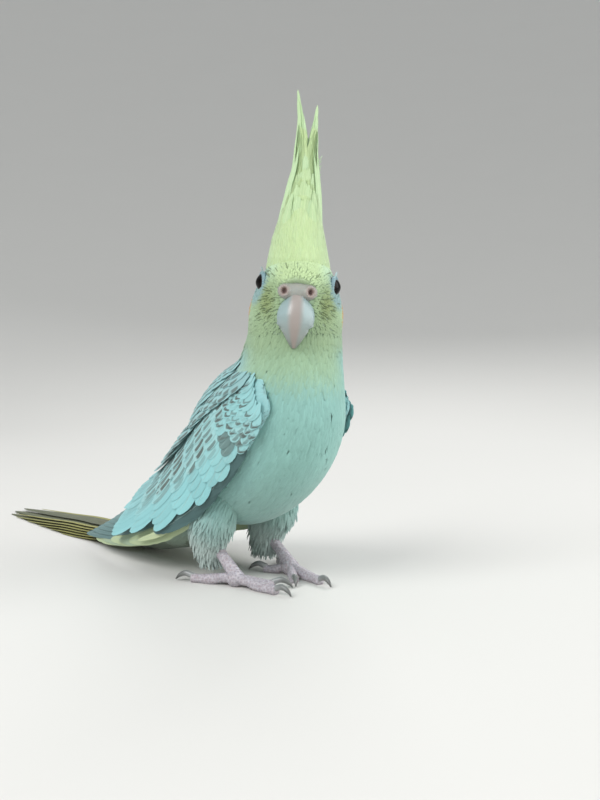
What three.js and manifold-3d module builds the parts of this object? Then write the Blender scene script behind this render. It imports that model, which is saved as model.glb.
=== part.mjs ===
// A life-size cockatiel with a pearled back, standing on a flat floor with its tail laid out behind it.
// Its head is turned over its right shoulder, and its crest is raised.
// Millimetres, +Z up. The bird faces -Y, so its left side is +X. At the end the group is centred.
import * as THREE from 'three';
import { mergeVertices } from 'three/addons/utils/BufferGeometryUtils.js';
import Module from 'manifold-3d';

const wasm = await Module();
wasm.setup();

// Driving sizes
const gap = 0.3;                 // kept between touching pieces
const wingLength = 130;          // along the folded wing's middle line to the longest feather's tip
const tailLength = 142;          // longest tail feather, from its root in the rump
const vaneThickness = 0.5;
const vaneLayer = 0.8;           // from one vane to the next that lies on it
const mergeReach = 2e-3;         // points of a finished solid nearer than this become one
const headTurn = -42;            // degrees about the neck, towards the bird's right
const headNod = 4;               // degrees that the bill points down
const headRoll = 4;
const headCentre = new THREE.Vector3(0.2, 1.6, 97);
const skull = { halfWidth: 12.4, halfDepth: 16.5, halfHeight: 14 };
const eyeRadius = 3.5;
const eyePlace = new THREE.Vector3(10.3, -5.5, 5.2);   // in the head's frame, left eye
const bodySlope = 38;            // degrees that the back falls towards the tail
const tarsusRadius = 1.9;
const footWidth = 25;            // between the middles of the two feet
const ballBack = 19;             // how far back the balls of the feet stand
const heel = { back: 33.5, height: 14.5 };
const clawLength = 6;

const skin = { flesh: 0xd7c4c8, horn: 0xb9b4a8, claw: 0x5c5a55, eye: 0x0b0908 };
const plumage = { body: 0xd3e2cf, face: 0xdfe6a0, crest: 0xe4ecb0, wing: 0xc9dedb, tail: 0xa9a765 };

const v3 = (x, y, z) => new THREE.Vector3(x, y, z);
const radians = THREE.MathUtils.degToRad;
const smooth = (x, low, high) => THREE.MathUtils.smoothstep(x, low, high);

// Closed meshes and solids

// Rings of points with a pole at each end make one closed surface, turned so that its faces point out.
function closedGrid(rings, firstPole, lastPole) {
  const around = rings[0].length;
  const points = [firstPole, ...rings.flat(), lastPole];
  const at = (ring, i) => 1 + ring * around + (i % around);
  const faces = [];
  for (let i = 0; i < around; i++) {
    faces.push([0, at(0, i + 1), at(0, i)]);
    faces.push([points.length - 1, at(rings.length - 1, i), at(rings.length - 1, i + 1)]);
    for (let ring = 0; ring < rings.length - 1; ring++) {
      faces.push([at(ring, i), at(ring, i + 1), at(ring + 1, i + 1)]);
      faces.push([at(ring, i), at(ring + 1, i + 1), at(ring + 1, i)]);
    }
  }
  const volume = faces.reduce((sum, [a, b, c]) =>
    sum + points[a].dot(points[b].clone().cross(points[c])), 0);
  const turned = volume < 0 ? faces.map(([a, b, c]) => [a, c, b]) : faces;
  const geometry = new THREE.BufferGeometry().setFromPoints(points);
  geometry.setIndex(turned.flat());
  return geometry;
}

function solidOf(geometry, reach = 1e-4) {
  const bare = geometry.clone();
  bare.deleteAttribute('normal');
  bare.deleteAttribute('uv');
  const merged = mergeVertices(bare, reach);
  return new wasm.Manifold(new wasm.Mesh({
    numProp: 3,
    vertProperties: new Float32Array(merged.attributes.position.array),
    triVerts: new Uint32Array(merged.index.array),
  }));
}

const joined = (solids) => solids.reduce((sum, next) => sum.add(next));
const without = (solid, cutters) => cutters.reduce((rest, cutter) => rest.subtract(cutter), solid);

function geometryOf(solid) {
  const made = solid.getMesh();
  const geometry = new THREE.BufferGeometry();
  geometry.setAttribute('position', new THREE.BufferAttribute(new Float32Array(made.vertProperties), 3));
  return geometry.setIndex(new THREE.BufferAttribute(new Uint32Array(made.triVerts), 1));
}

// Only the largest closed surface of a cut or joined solid is kept, with points that nearly meet merged.
function largest(solid) {
  const kept = solid.decompose().sort((a, b) => b.volume() - a.volume())[0];
  const merged = solidOf(geometryOf(kept), mergeReach);
  return merged.decompose().sort((a, b) => b.volume() - a.volume())[0];
}

function meshOf(name, solid, colour, roughness = 0.8) {
  const geometry = geometryOf(largest(solid));
  geometry.computeVertexNormals();
  const material = new THREE.MeshStandardMaterial({ color: colour, roughness, metalness: 0 });
  const mesh = new THREE.Mesh(geometry, material);
  mesh.name = name;
  return mesh;
}

function ellipsoid(centre, radii, turn = new THREE.Quaternion(), around = 14, along = 9) {
  const geometry = new THREE.SphereGeometry(1, around, along);
  geometry.scale(...radii);
  geometry.applyQuaternion(turn);
  return solidOf(geometry.translate(centre.x, centre.y, centre.z));
}

// A round-ended limb through a few points, each with its own half width and half height.
function limb(points, widths, heights, sides = 10, steps = 10, across = v3(1, 0, 0)) {
  const path = new THREE.CatmullRomCurve3(points);
  const between = (list, f) => {
    const place = f * (list.length - 1);
    const low = Math.min(Math.floor(place), list.length - 2);
    return THREE.MathUtils.lerp(list[low], list[low + 1], place - low);
  };
  const rings = [];
  const endStep = 0.35;
  for (const f of [...Array(steps + 1).keys()].map((i) => i / steps)) {
    const along = path.getTangent(f);
    const side = across.clone().addScaledVector(along, -across.dot(along)).normalize();
    const up = side.clone().cross(along);
    rings.push([...Array(sides).keys()].map((i) => {
      const angle = (2 * Math.PI * i) / sides;
      return path.getPoint(f)
        .addScaledVector(side, Math.cos(angle) * between(widths, f))
        .addScaledVector(up, Math.sin(angle) * between(heights, f));
    }));
  }
  const first = points[0].clone().addScaledVector(path.getTangent(0), -endStep * heights[0]);
  const last = points.at(-1).clone().addScaledVector(path.getTangent(1), endStep * heights.at(-1));
  return solidOf(closedGrid(rings, first, last));
}

// The head's own frame: x to the bird's left, y back, z up

const headQuaternion = new THREE.Quaternion().setFromEuler(
  new THREE.Euler(radians(headNod), radians(headRoll), radians(headTurn), 'ZYX'));
const onHead = (x, y, z) => v3(x, y, z).applyQuaternion(headQuaternion).add(headCentre);

// Body, as smoothly joined ellipsoids

const sloped = (degrees) => new THREE.Quaternion().setFromAxisAngle(v3(1, 0, 0), -radians(degrees));
const bulbs = [
  { centre: v3(0, 20, 50), radii: [22.6, 39, 26.5], turn: sloped(bodySlope) },
  { centre: v3(0, 54, 27), radii: [15.5, 32, 15], turn: sloped(bodySlope) },
  { centre: v3(0, 3, 79), radii: [16.2, 16, 21], turn: sloped(0) },
  {
    centre: onHead(0, 1, 3), turn: headQuaternion,
    radii: [skull.halfWidth, skull.halfDepth - 1, skull.halfHeight],
  },
  { centre: onHead(0, 0, -4), radii: [14.2, 13.5, 10.5], turn: headQuaternion },
  { centre: onHead(0, -7, 2), radii: [9.5, 9, 10], turn: headQuaternion },
];
const blendWidth = 7;
for (const bulb of bulbs) bulb.back = bulb.turn.clone().invert();

function bulbDistance(point, { centre, radii, back }) {
  const local = point.clone().sub(centre).applyQuaternion(back);
  const scaled = local.toArray().map((value, i) => value / radii[i]);
  const k0 = Math.hypot(...scaled);
  const k1 = Math.hypot(...scaled.map((value, i) => value / radii[i]));
  return k0 < 1e-6 ? -Math.min(...radii) : (k0 * (k0 - 1)) / k1;
}

// Less than zero inside the bird's body.
function bodyField(point) {
  return bulbs.reduce((nearest, bulb) => {
    const next = bulbDistance(point, bulb);
    const share = Math.max(blendWidth - Math.abs(nearest - next), 0) / blendWidth;
    return Math.min(nearest, next) - (share * share * blendWidth) / 4;
  }, Infinity);
}

function bodySurfaceFrom(origin, direction, grow) {
  let inside = 0;
  let outside = 70;
  for (let i = 0; i < 26; i++) {
    const middle = (inside + outside) / 2;
    if (bodyField(origin.clone().addScaledVector(direction, middle)) < 0) inside = middle;
    else outside = middle;
  }
  return origin.clone().addScaledVector(direction, inside + grow);
}

// Rays leave a spine that runs from the crown to the rump, and the rings are where they meet the surface.
const spine = new THREE.CatmullRomCurve3([
  v3(1, 0, 103), v3(1, 1, 93), v3(0, 5, 81), v3(0, 12, 67), v3(0, 26, 51), v3(0, 45, 35), v3(0, 66, 18.5),
]);

function bodySolid(grow = 0) {
  const [around, along, cap] = [24, 24, 6];
  const rings = [];
  const ringAt = (f, lean) => {
    const origin = spine.getPoint(f);
    const ahead = spine.getTangent(f);
    const back = v3(0, -ahead.z, ahead.y);
    rings.push([...Array(around).keys()].map((i) => {
      const angle = (2 * Math.PI * i) / around;
      const direction = back.clone().multiplyScalar(Math.cos(angle) * Math.cos(lean))
        .add(v3(Math.sin(angle) * Math.cos(lean), 0, 0))
        .addScaledVector(ahead, Math.sin(lean));
      return bodySurfaceFrom(origin, direction, grow);
    }));
  };
  for (let i = 1; i < cap; i++) ringAt(0, (i / cap - 1) * Math.PI / 2);
  for (let i = 0; i <= along; i++) ringAt(i / along, 0);
  for (let i = 1; i < cap; i++) ringAt(1, (i / cap) * Math.PI / 2);
  const crown = bodySurfaceFrom(spine.getPoint(0), spine.getTangent(0).negate(), grow);
  const rump = bodySurfaceFrom(spine.getPoint(1), spine.getTangent(1), grow);
  return solidOf(closedGrid(rings, crown, rump));
}

const body = bodySolid();
const grownBody = bodySolid(gap);

// A thin slab across the spine parts the body without moving its surface.
function parting(back, height, lean) {
  const slab = new THREE.BoxGeometry(90, 90, gap);
  slab.rotateX(radians(lean));
  return solidOf(slab.translate(0, back, height));
}

// Everything in a half space on the far side of a parting plane.
function beyond(back, height, lean, depth = 120) {
  const block = new THREE.BoxGeometry(160, 160, depth);
  block.translate(0, 0, -depth / 2 - gap / 2);
  block.rotateX(radians(lean));
  return solidOf(block.translate(0, back, height));
}

const headCut = [4, 84.5, 6];
const neckCut = [9, 71, 24];

const headPiece = body.subtract(beyond(...headCut)).subtract(parting(...headCut));
const neckPiece = without(
  body.intersect(beyond(...headCut)),
  [beyond(...neckCut), parting(...neckCut), billLower(gap), billUpper(gap)]);
const torsoPiece = body.intersect(beyond(...neckCut));

// Bill, cere, eyes and lids

function billUpper(grow = 0) {
  return limb(
    [
      onHead(0, -10.5, 1), onHead(0, -14.6, -1.6), onHead(0, -17, -5.4), onHead(0, -17.4, -9.6),
      onHead(0, -16.4, -14.6),
    ],
    [5.4, 5.5, 4.7, 3, 0.9].map((w) => w + grow),
    [4.2, 4.6, 3.7, 2.6, 0.8].map((h) => h + grow),
    12, 8, v3(1, 0, 0).applyQuaternion(headQuaternion));
}

function billLower(grow = 0) {
  return limb(
    [onHead(0, -8, -7), onHead(0, -11, -9.4), onHead(0, -13.4, -11.4), onHead(0, -14.6, -12.6)],
    [4.4, 4.6, 3.6, 1.8].map((w) => w + grow),
    [2.6, 2.6, 2, 0.9].map((h) => h + grow),
    10, 5, v3(1, 0, 0).applyQuaternion(headQuaternion));
}

const cereShape = (grow = 0) => joined([
  ellipsoid(onHead(0, -12.4, 2.6), [6 + grow, 4.2 + grow, 4 + grow], headQuaternion),
  ...[-1, 1].map((side) => ellipsoid(
    onHead(side * 3.9, -13.6, 3.2), [2.7 + grow, 2.9 + grow, 2.7 + grow], headQuaternion, 10, 7)),
]);

const nostril = (side) => limb(
  [onHead(side * 3.6, -12.5, 3.2), onHead(side * 4.6, -18, 3.9)], [0.7, 1.1], [0.7, 1.1], 8, 2);

const eyeSolid = (side, grow = 0) => ellipsoid(
  onHead(side * eyePlace.x, eyePlace.y, eyePlace.z), Array(3).fill(eyeRadius + grow), headQuaternion, 14, 10);

// The lids are a raised ring whose hole shows the eye.
function lidRing(side) {
  const ring = new THREE.TorusGeometry(eyeRadius - 0.35, 0.75, 5, 14);
  ring.rotateY(radians(90));
  ring.rotateZ(radians(side * -14));
  ring.applyQuaternion(headQuaternion);
  const { x, y, z } = onHead(side * (eyePlace.x + 1.55), eyePlace.y - 0.35, eyePlace.z);
  return solidOf(ring.translate(x, y, z));
}

const cere = without(cereShape(), [billUpper(gap), nostril(-1), nostril(1)]);
const billBelow = without(billLower(), [billUpper(gap), cereShape(gap)]);
const head = without(
  joined([headPiece, lidRing(-1), lidRing(1)]),
  [billUpper(gap), billLower(gap), cereShape(gap), eyeSolid(-1, gap), eyeSolid(1, gap)]);

// Feathers

// A vane follows place(along, across, height) from its root to its tip, and is the same on both faces.
function vane(place, { root, tip, rise, width, segments = 5, blunt = 3 }) {
  const [a0, c0] = root;
  const [a1, c1] = tip;
  const length = Math.hypot(a1 - a0, c1 - c0);
  const [ux, uy] = [(a1 - a0) / length, (c1 - c0) / length];
  const height = (f) => THREE.MathUtils.lerp(rise[0], rise[1], f);
  const point = (f, offset, lift) => place(
    a0 + ux * length * f - uy * offset, c0 + uy * length * f + ux * offset, height(f) + lift);
  const rings = [];
  for (let i = 0; i < segments; i++) {
    const f = 1 - (1 - i / segments) ** 1.25;
    const half = (width / 2) * (0.4 + 0.6 * smooth(f, 0, 0.35)) * Math.sqrt(1 - f ** blunt);
    const lift = vaneThickness / 2;
    rings.push([point(f, half, lift), point(f, half, -lift), point(f, -half, -lift), point(f, -half, lift)]);
  }
  return solidOf(closedGrid(rings, point(-0.01, 0, 0), point(1, 0, 0)));
}

// Wings

// The folded wing lies on a curved sheet: a line from the wrist to the tip, bent round the body.
const wingLine = new THREE.CatmullRomCurve3([
  v3(20.8, 4, 61), v3(23.6, 20, 51), v3(22.2, 38, 39.5), v3(19, 63, 26.5), v3(16.6, 92, 16), v3(15.5, 121, 7),
]);
const wingTilt = { root: 6, end: 48 };       // degrees that the sheet leans towards the back
const wingBend = { root: 24, end: 60 };      // radius of the sheet across the wing

function wingPlace(side) {
  return (along, across, height) => {
    const f = THREE.MathUtils.clamp(along / wingLength, -0.05, 1);
    const tangent = wingLine.getTangent(THREE.MathUtils.clamp(f, 0, 1));
    const tilt = radians(THREE.MathUtils.lerp(wingTilt.root, wingTilt.end, smooth(f, -0.1, 1)));
    const bend = THREE.MathUtils.lerp(wingBend.root, wingBend.end, smooth(f, 0.3, 1));
    const lean = v3(Math.cos(tilt), 0, Math.sin(tilt));
    const outward = lean.addScaledVector(tangent, -lean.dot(tangent)).normalize();
    const upward = outward.clone().cross(tangent);
    const turn = across / bend;
    const point = wingLine.getPoint(THREE.MathUtils.clamp(f, 0, 1))
      .addScaledVector(tangent, f < 0 ? along : 0)
      .addScaledVector(upward, Math.sin(turn) * (bend + height))
      .addScaledVector(outward, Math.cos(turn) * (bend + height) - bend);
    return v3(side * point.x, point.y, point.z);
  };
}

// The folded wing is one smooth form from the wrist to its tip. At each station along it there are its lower
// and upper edges across the sheet, and its inner and outer faces.
const wingInside = -4.6;
const wingStations = [
  { along: -10, edges: [-6, 12], faces: [-3.4, -0.6] },
  { along: -4, edges: [-12, 18], faces: [wingInside, 1.6] },
  { along: 12, edges: [-16.5, 22.5], faces: [wingInside, 3] },
  { along: 36, edges: [-20, 23], faces: [wingInside, 3.4] },
  { along: 60, edges: [-20, 20], faces: [wingInside, 3.4] },
  { along: 80, edges: [-17.5, 15], faces: [wingInside, 2.6] },
  { along: 98, edges: [-14.5, 6], faces: [wingInside, -0.8] },
  { along: 115, edges: [-10.5, 0.5], faces: [-4.55, -2.9] },
  { along: 127, edges: [-4.5, -0.2], faces: [-4.5, -3.6] },
];

// A station's number at a place between two stations, eased so that the form stays smooth.
function atStation(f, number) {
  const places = wingStations.map(({ along }) => along);
  const values = new THREE.CubicInterpolant(places, wingStations.map(number), 1);
  return values.evaluate(f)[0];
}

function wing(side) {
  const place = wingPlace(side);
  const [steps, around] = [26, 18];
  const [first, last] = [wingStations[0].along, wingStations.at(-1).along];
  const rings = [...Array(steps + 1).keys()].map((i) => {
    const along = THREE.MathUtils.lerp(first, last, i / steps);
    const [low, high] = [atStation(along, (s) => s.edges[0]), atStation(along, (s) => s.edges[1])];
    const [inner, outer] = [atStation(along, (s) => s.faces[0]), atStation(along, (s) => s.faces[1])];
    return [...Array(around).keys()].map((k) => {
      const angle = (2 * Math.PI * k) / around;
      const lift = Math.sign(Math.sin(angle)) * Math.abs(Math.sin(angle)) ** 0.6;
      return place(
        along,
        (low + high) / 2 + (Math.cos(angle) * (high - low)) / 2,
        (inner + outer) / 2 + (lift * (outer - inner)) / 2);
    });
  });
  const blade = closedGrid(rings, place(first - 1.5, 3, -2), place(wingLength, -1, -4));
  return without(solidOf(blade), [grownBody]);
}

// The space from just inside a wing outwards, which the thigh keeps out of.
function wingRoom(side) {
  const place = wingPlace(side);
  const inside = wingInside - gap;
  const rings = [-30, 0, 30, 60, 90].map((along) => [
    place(along, -24, inside), place(along, 0, inside), place(along, 24, inside),
    place(along, 24, 16), place(along, 0, 16), place(along, -24, 16),
  ]);
  return solidOf(closedGrid(rings, place(-31, 0, 5), place(91, 0, 5)));
}

// Tail

// Six pairs, the middle pair longest and on top. Each lies on those under it, and all come down to the floor.
const tailPairs = [
  { share: 1, offset: 0.9, spread: 0.6, width: 13 },
  { share: 0.955, offset: 2.9, spread: 1.9, width: 9.2 },
  { share: 0.85, offset: 3.2, spread: 2.6, width: 9.4 },
  { share: 0.75, offset: 3.5, spread: 3.3, width: 9.6 },
  { share: 0.66, offset: 3.8, spread: 4, width: 9.8 },
  { share: 0.58, offset: 4.1, spread: 4.7, width: 10 },
];
const tailRoot = { back: 73, height: 8 };
const tailReach = 70;            // how far behind its root the tail first lies on the floor

function tailPlace(pair, side) {
  const { offset, spread } = tailPairs[pair];
  const angle = radians(side * spread);
  return (along, across, height) => {
    const sunk = Math.max(0, 1 - along / tailReach) ** 2;
    const below = tailPairs.slice(pair + 1).reduce((sum, { share }) =>
      sum + 1 - smooth(along, share * tailLength - 16, share * tailLength + 8), 0);
    const overlap = side > 0 && pair === 0 ? 1 : 0;
    const base = v3(
      side * offset + Math.sin(angle) * along,
      tailRoot.back + Math.cos(angle) * along,
      sunk * tailRoot.height + vaneThickness / 2 + (below + overlap) * vaneLayer + height);
    return base.add(v3(Math.cos(angle) * across, -Math.sin(angle) * across, 0));
  };
}

const tailFeathers = tailPairs.flatMap(({ share, width }, pair) => [-1, 1].map((side) =>
  vane(tailPlace(pair, side), {
    root: [-4, 0], tip: [share * tailLength, 0], rise: [0, 0], width, segments: 6, blunt: pair < 2 ? 2 : 3,
  })));

// Small feathers that cover the roots of the tail, above and below. The middle one is on the outside.
function tailCoverts(above) {
  const [drop, lift, outward] = above ? [0.3, 8, 1] : [0.16, -3.4, -1];
  return [-1, 1, 0].map((across) => vane(
    (along, offset, height) => v3(
      offset,
      tailRoot.back + along,
      tailRoot.height - drop * along + lift + outward * (height - Math.abs(across) * vaneLayer)),
    {
      root: [-8, across * 3.4], tip: [above ? 24 : 22, across * 5.4], rise: [-1, 0], width: 7.6, segments: 4,
    }));
}

const floorBlock = solidOf(new THREE.BoxGeometry(400, 600, 40).translate(0, 60, -20));
// The feathers grow from a low, rounded root that caps the end of the rump.
const tailStump = ellipsoid(v3(0, 80, 8), [11, 13, 6.5], sloped(14), 14, 9);
const tail = without(
  joined([tailStump, ...tailFeathers, ...tailCoverts(true), ...tailCoverts(false)]), [floorBlock, grownBody]);

// Legs and feet

// Toes as the bird's own: two forward, two back. Angles are from straight ahead, outwards.
// The floor cuts the pads under them off flat.
const toes = [
  { name: 'outer_front', angle: -8, length: 19, radius: 1.75 },
  { name: 'inner_front', angle: -36, length: 14, radius: 1.6 },
  { name: 'outer_back', angle: 152, length: 17, radius: 1.7 },
  { name: 'inner_back', angle: 206, length: 10.5, radius: 1.5 },
];

const ballOf = (side) => v3((side * footWidth) / 2, ballBack, 2.6);

function toeSolid(side, { angle, length, radius }, grow = 0) {
  const way = v3(side * Math.sin(radians(angle)), -Math.cos(radians(angle)), 0);
  const at = (share, height) => ballOf(side).addScaledVector(way, share * length).setZ(height);
  const round = [radius * 1.15, radius * 0.95, radius * 1.12, radius * 0.9, radius].map((r) => r + grow);
  const path = [
    at(0.04, radius + 0.9), at(0.3, radius + 0.7), at(0.55, radius - 0.15), at(0.8, radius - 0.3),
    at(0.97, radius - 0.4),
  ];
  return limb(path, round, round, 7, 5, way.clone().cross(v3(0, 0, 1)));
}

function clawSolid(side, toe) {
  const way = v3(side * Math.sin(radians(toe.angle)), -Math.cos(radians(toe.angle)), 0);
  const at = (reach, height) => ballOf(side).addScaledVector(way, toe.length + reach).setZ(height);
  const path = [at(-1, 2), at(clawLength * 0.35, 2.9), at(clawLength * 0.75, 2), at(clawLength, 0.55)];
  const round = [1.1, 1.05, 0.75, 0.35];
  return without(
    limb(path, round, round, 5, 4, way.clone().cross(v3(0, 0, 1))), [toeSolid(side, toe, gap), floorBlock]);
}

const tarsusPath = (side) => [
  v3((side * footWidth) / 2, heel.back, heel.height),
  v3((side * footWidth) / 2, (heel.back + ballBack) / 2, (heel.height + 3.6) / 2),
  v3((side * footWidth) / 2, ballBack, 3.6),
];

function footSolid(side) {
  const round = [2.5, tarsusRadius, 2.5];
  return without(
    joined([
      limb(tarsusPath(side), round, round, 8, 4),
      ellipsoid(ballOf(side), [3.2, 3.4, 3], new THREE.Quaternion(), 10, 7),
      ...toes.map((toe) => toeSolid(side, toe)),
    ]), [floorBlock]);
}

// The feathered thigh hides the heel.
function thighSolid(side) {
  const middle = (side * footWidth) / 2;
  const path = [
    v3(side * 12, 26, 34), v3(side * 14, 30, 24), v3(middle + side, 33.5, 15), v3(middle, 33.5, 8.5),
  ];
  const round = [2.5 + gap, tarsusRadius + gap, 2.5 + gap];
  return without(
    limb(path, [7, 8.2, 6.2, 3.6], [10, 11, 7.5, 4], 12, 6),
    [grownBody, limb(tarsusPath(side), round, round, 8, 4), wingRoom(side)]);
}

// Crest

// Each crest feather stands in its own upright frame on the crown, leaning back and curling at its tip.
function crestFeather({ across, back, length, lean, splay, width, curl = 0.16 }) {
  const domeHeight = skull.halfHeight + 3 - (back + 1) ** 2 / 34 - across ** 2 / 16;
  const way = v3(Math.sin(radians(splay)), Math.sin(radians(lean)), Math.cos(radians(lean))).normalize();
  const aside = v3(1, 0, 0).addScaledVector(way, -way.x).normalize();
  const face = way.clone().cross(aside).normalize();
  const place = (along, offset, height) => {
    const f = along / length;
    const cup = offset * offset * 0.06;
    const point = v3(across, back, domeHeight - 3)
      .addScaledVector(way, along)
      .addScaledVector(face, height - cup + curl * length * (f * f - 1.15 * f * f * f))
      .addScaledVector(aside, offset);
    return onHead(point.x, point.y, point.z);
  };
  return vane(place, { root: [0, 0], tip: [length, 0], rise: [0, 0], width, segments: 4, blunt: 1.7 });
}

// Rows from the forehead to the back of the crown: how far back, how long, how far they lean, and how many.
const crestRows = [
  { back: -10, length: 17, lean: 3, count: 5, spread: 3.6, width: 4.2 },
  { back: -7.5, length: 30, lean: 3, count: 5, spread: 3, width: 4.4 },
  { back: -5, length: 44, lean: 4, count: 4, spread: 2.3, width: 4.4 },
  { back: -2.5, length: 53, lean: 7, count: 2, spread: 1.6, width: 4.4 },
  { back: 0, length: 47, lean: 13, count: 3, spread: 2.2, width: 4.2 },
  { back: 3, length: 36, lean: 23, count: 3, spread: 2.4, width: 4.2 },
  { back: 6, length: 24, lean: 34, count: 3, spread: 2.6, width: 4.2 },
];

const crestVanes = crestRows.flatMap((row, r) => [...Array(row.count).keys()].map((i) => {
  const offset = (i - (row.count - 1) / 2) * row.spread;
  const unevenness = 1 + 0.06 * Math.sin(5 * r + 3 * i);
  return crestFeather({
    ...row, across: offset, splay: offset * -0.9 + 3 * Math.sin(2 * r + i), length: row.length * unevenness,
  });
}));
const crestRoot = ellipsoid(onHead(0, -2.5, skull.halfHeight - 1.2), [5.6, 11, 4.6], headQuaternion, 12, 8);
const crest = without(joined([crestRoot, ...crestVanes]), [grownBody]);

// The bird

const sides = { left: 1, right: -1 };
const bird = new THREE.Group();
bird.name = 'cockatiel';
bird.add(
  meshOf('head', head, plumage.face),
  meshOf('neck', neckPiece, plumage.body),
  meshOf('torso', torsoPiece, plumage.body),
  meshOf('tail', tail, plumage.tail),
  meshOf('crest', crest, plumage.crest),
  meshOf('cere', cere, skin.flesh, 0.6),
  meshOf('bill_upper', billUpper(), skin.horn, 0.4),
  meshOf('bill_lower', billBelow, skin.horn, 0.4));
for (const [sideName, side] of Object.entries(sides)) {
  bird.add(
    meshOf(`eye_${sideName}`, eyeSolid(side), skin.eye, 0.05),
    meshOf(`wing_${sideName}`, wing(side), plumage.wing),
    meshOf(`thigh_${sideName}`, thighSolid(side), plumage.body),
    meshOf(`foot_${sideName}`, footSolid(side), skin.flesh, 0.6),
    ...toes.map((toe) => meshOf(`claw_${sideName}_${toe.name}`, clawSolid(side, toe), skin.claw, 0.4)));
}

// The middle of the whole bird's box stands over the origin, and its feet are on the floor at zero.
const box = new THREE.Box3().setFromObject(bird, true);
const centre = box.getCenter(v3(0, 0, 0));
bird.position.set(-centre.x, -centre.y, 0);

export default bird;
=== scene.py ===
import bpy
import math
from functools import partial, reduce
import numpy as np
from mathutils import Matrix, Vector


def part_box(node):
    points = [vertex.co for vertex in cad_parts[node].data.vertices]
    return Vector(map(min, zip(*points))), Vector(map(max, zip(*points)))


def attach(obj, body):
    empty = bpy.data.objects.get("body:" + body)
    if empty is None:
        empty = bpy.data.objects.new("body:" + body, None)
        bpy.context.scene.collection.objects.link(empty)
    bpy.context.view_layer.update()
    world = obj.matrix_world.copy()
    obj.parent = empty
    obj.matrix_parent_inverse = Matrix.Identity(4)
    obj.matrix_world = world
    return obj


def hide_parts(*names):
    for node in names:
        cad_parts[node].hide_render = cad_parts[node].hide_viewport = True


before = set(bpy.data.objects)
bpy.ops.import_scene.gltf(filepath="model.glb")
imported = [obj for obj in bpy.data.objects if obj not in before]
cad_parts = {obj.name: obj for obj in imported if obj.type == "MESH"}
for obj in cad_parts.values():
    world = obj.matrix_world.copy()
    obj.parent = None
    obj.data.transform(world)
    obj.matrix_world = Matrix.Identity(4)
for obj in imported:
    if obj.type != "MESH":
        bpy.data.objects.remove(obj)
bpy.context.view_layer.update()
rng = np.random.default_rng(20)

# Lengths are millimetres in the bird's own place: it faces -Y, its left is +X and its feet stand at z = 0.


# vectors and curves

def unit(v):
    return v / np.maximum(np.linalg.norm(v, axis=-1, keepdims=True), 1e-9)


def smooth(x, low, high):
    t = np.clip((x - low) / (high - low), 0, 1)
    return t * t * (3 - 2 * t)


def lerp(a, b, t):
    return a + (b - a) * t


def alike(*values):
    # numbers and arrays as arrays of one shape
    return np.broadcast_arrays(*(np.asarray(v, float) for v in values))


def turned(axis, degrees):
    c, s = math.cos(math.radians(degrees)), math.sin(math.radians(degrees))
    rows = {"x": [[1, 0, 0], [0, c, -s], [0, s, c]],
            "y": [[c, 0, s], [0, 1, 0], [-s, 0, c]],
            "z": [[c, -s, 0], [s, c, 0], [0, 0, 1]]}
    return np.array(rows[axis], float)


def curveThrough(points):
    # a smooth curve whose steps follow the square root of the distance between points
    p = np.array(points, float)
    p = np.vstack([2 * p[0] - p[1], p, 2 * p[-1] - p[-2]])

    def at(f):
        place = np.clip(np.asarray(f, float), 0, 1) * (len(p) - 3)
        i = np.minimum(place.astype(int), len(p) - 4)
        w = (place - i)[..., None]
        a, b, c, d = p[i], p[i + 1], p[i + 2], p[i + 3]
        t0, t1, t2 = (np.sqrt(np.linalg.norm(m, axis=-1, keepdims=True)) for m in (b - a, c - b, d - c))
        m1 = ((b - a) / t0 - (c - a) / (t0 + t1) + (c - b) / t1) * t1
        m2 = ((c - b) / t1 - (d - b) / (t1 + t2) + (d - c) / t2) * t1
        return b + m1 * w + (3 * c - 3 * b - 2 * m1 - m2) * w ** 2 + (2 * b - 2 * c + m1 + m2) * w ** 3
    return at


def tangentOf(curve, f):
    step = 1e-3
    return unit(curve(np.clip(f + step, 0, 1)) - curve(np.clip(f - step, 0, 1)))


# the body's shape: smoothly joined ellipsoids, as in the solids

body = {
    "headTurn": -42, "headRoll": 4, "headNod": 4, "headCentre": (0.2, 1.6, 97),
    "slope": 38, "blend": 7,
    "spine": [(1, 0, 103), (1, 1, 93), (0, 5, 81), (0, 12, 67), (0, 26, 51), (0, 45, 35), (0, 66, 18.5)],
    "eyePlace": (10.3, -5.5, 5.2), "eyeRadius": 3.5,
}
headMatrix = turned("z", body["headTurn"]) @ turned("y", body["headRoll"]) @ turned("x", body["headNod"])
headCentre = np.array(body["headCentre"])


def onHead(x, y, z):
    return np.stack(alike(x, y, z), -1) @ headMatrix.T + headCentre


def inHead(points):
    return (points - headCentre) @ headMatrix


slopeMatrix = turned("x", -body["slope"])
bulbs = [
    ((0, 20, 50), (22.6, 39, 26.5), slopeMatrix),
    ((0, 54, 27), (15.5, 32, 15), slopeMatrix),
    ((0, 3, 79), (16.2, 16, 21), np.eye(3)),
    (onHead(0, 1, 3), (12.4, 15.5, 14), headMatrix),
    (onHead(0, 0, -4), (14.2, 13.5, 10.5), headMatrix),
    (onHead(0, -7, 2), (9.5, 9, 10), headMatrix),
]


def joined(distances, blend):
    # the least of several distances, rounded where two of them meet
    def join(nearest, distance):
        share = np.maximum(blend - np.abs(nearest - distance), 0) / blend
        return np.minimum(nearest, distance) - share ** 2 * blend / 4
    return reduce(join, distances)


def bodyField(points):
    # less than zero inside the body, about a distance near its surface
    def distance(centre, radii, matrix):
        local, radii = (points - np.array(centre)) @ matrix, np.array(radii)
        k0 = np.linalg.norm(local / radii, axis=-1)
        return k0 * (k0 - 1) / np.maximum(np.linalg.norm(local / radii ** 2, axis=-1), 1e-9)
    return joined((distance(*bulb) for bulb in bulbs), body["blend"])


def bodyNormal(points):
    step = 0.05
    moves = np.eye(3) * step
    return unit(np.stack([bodyField(points + m) - bodyField(points - m) for m in moves], -1))


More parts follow.
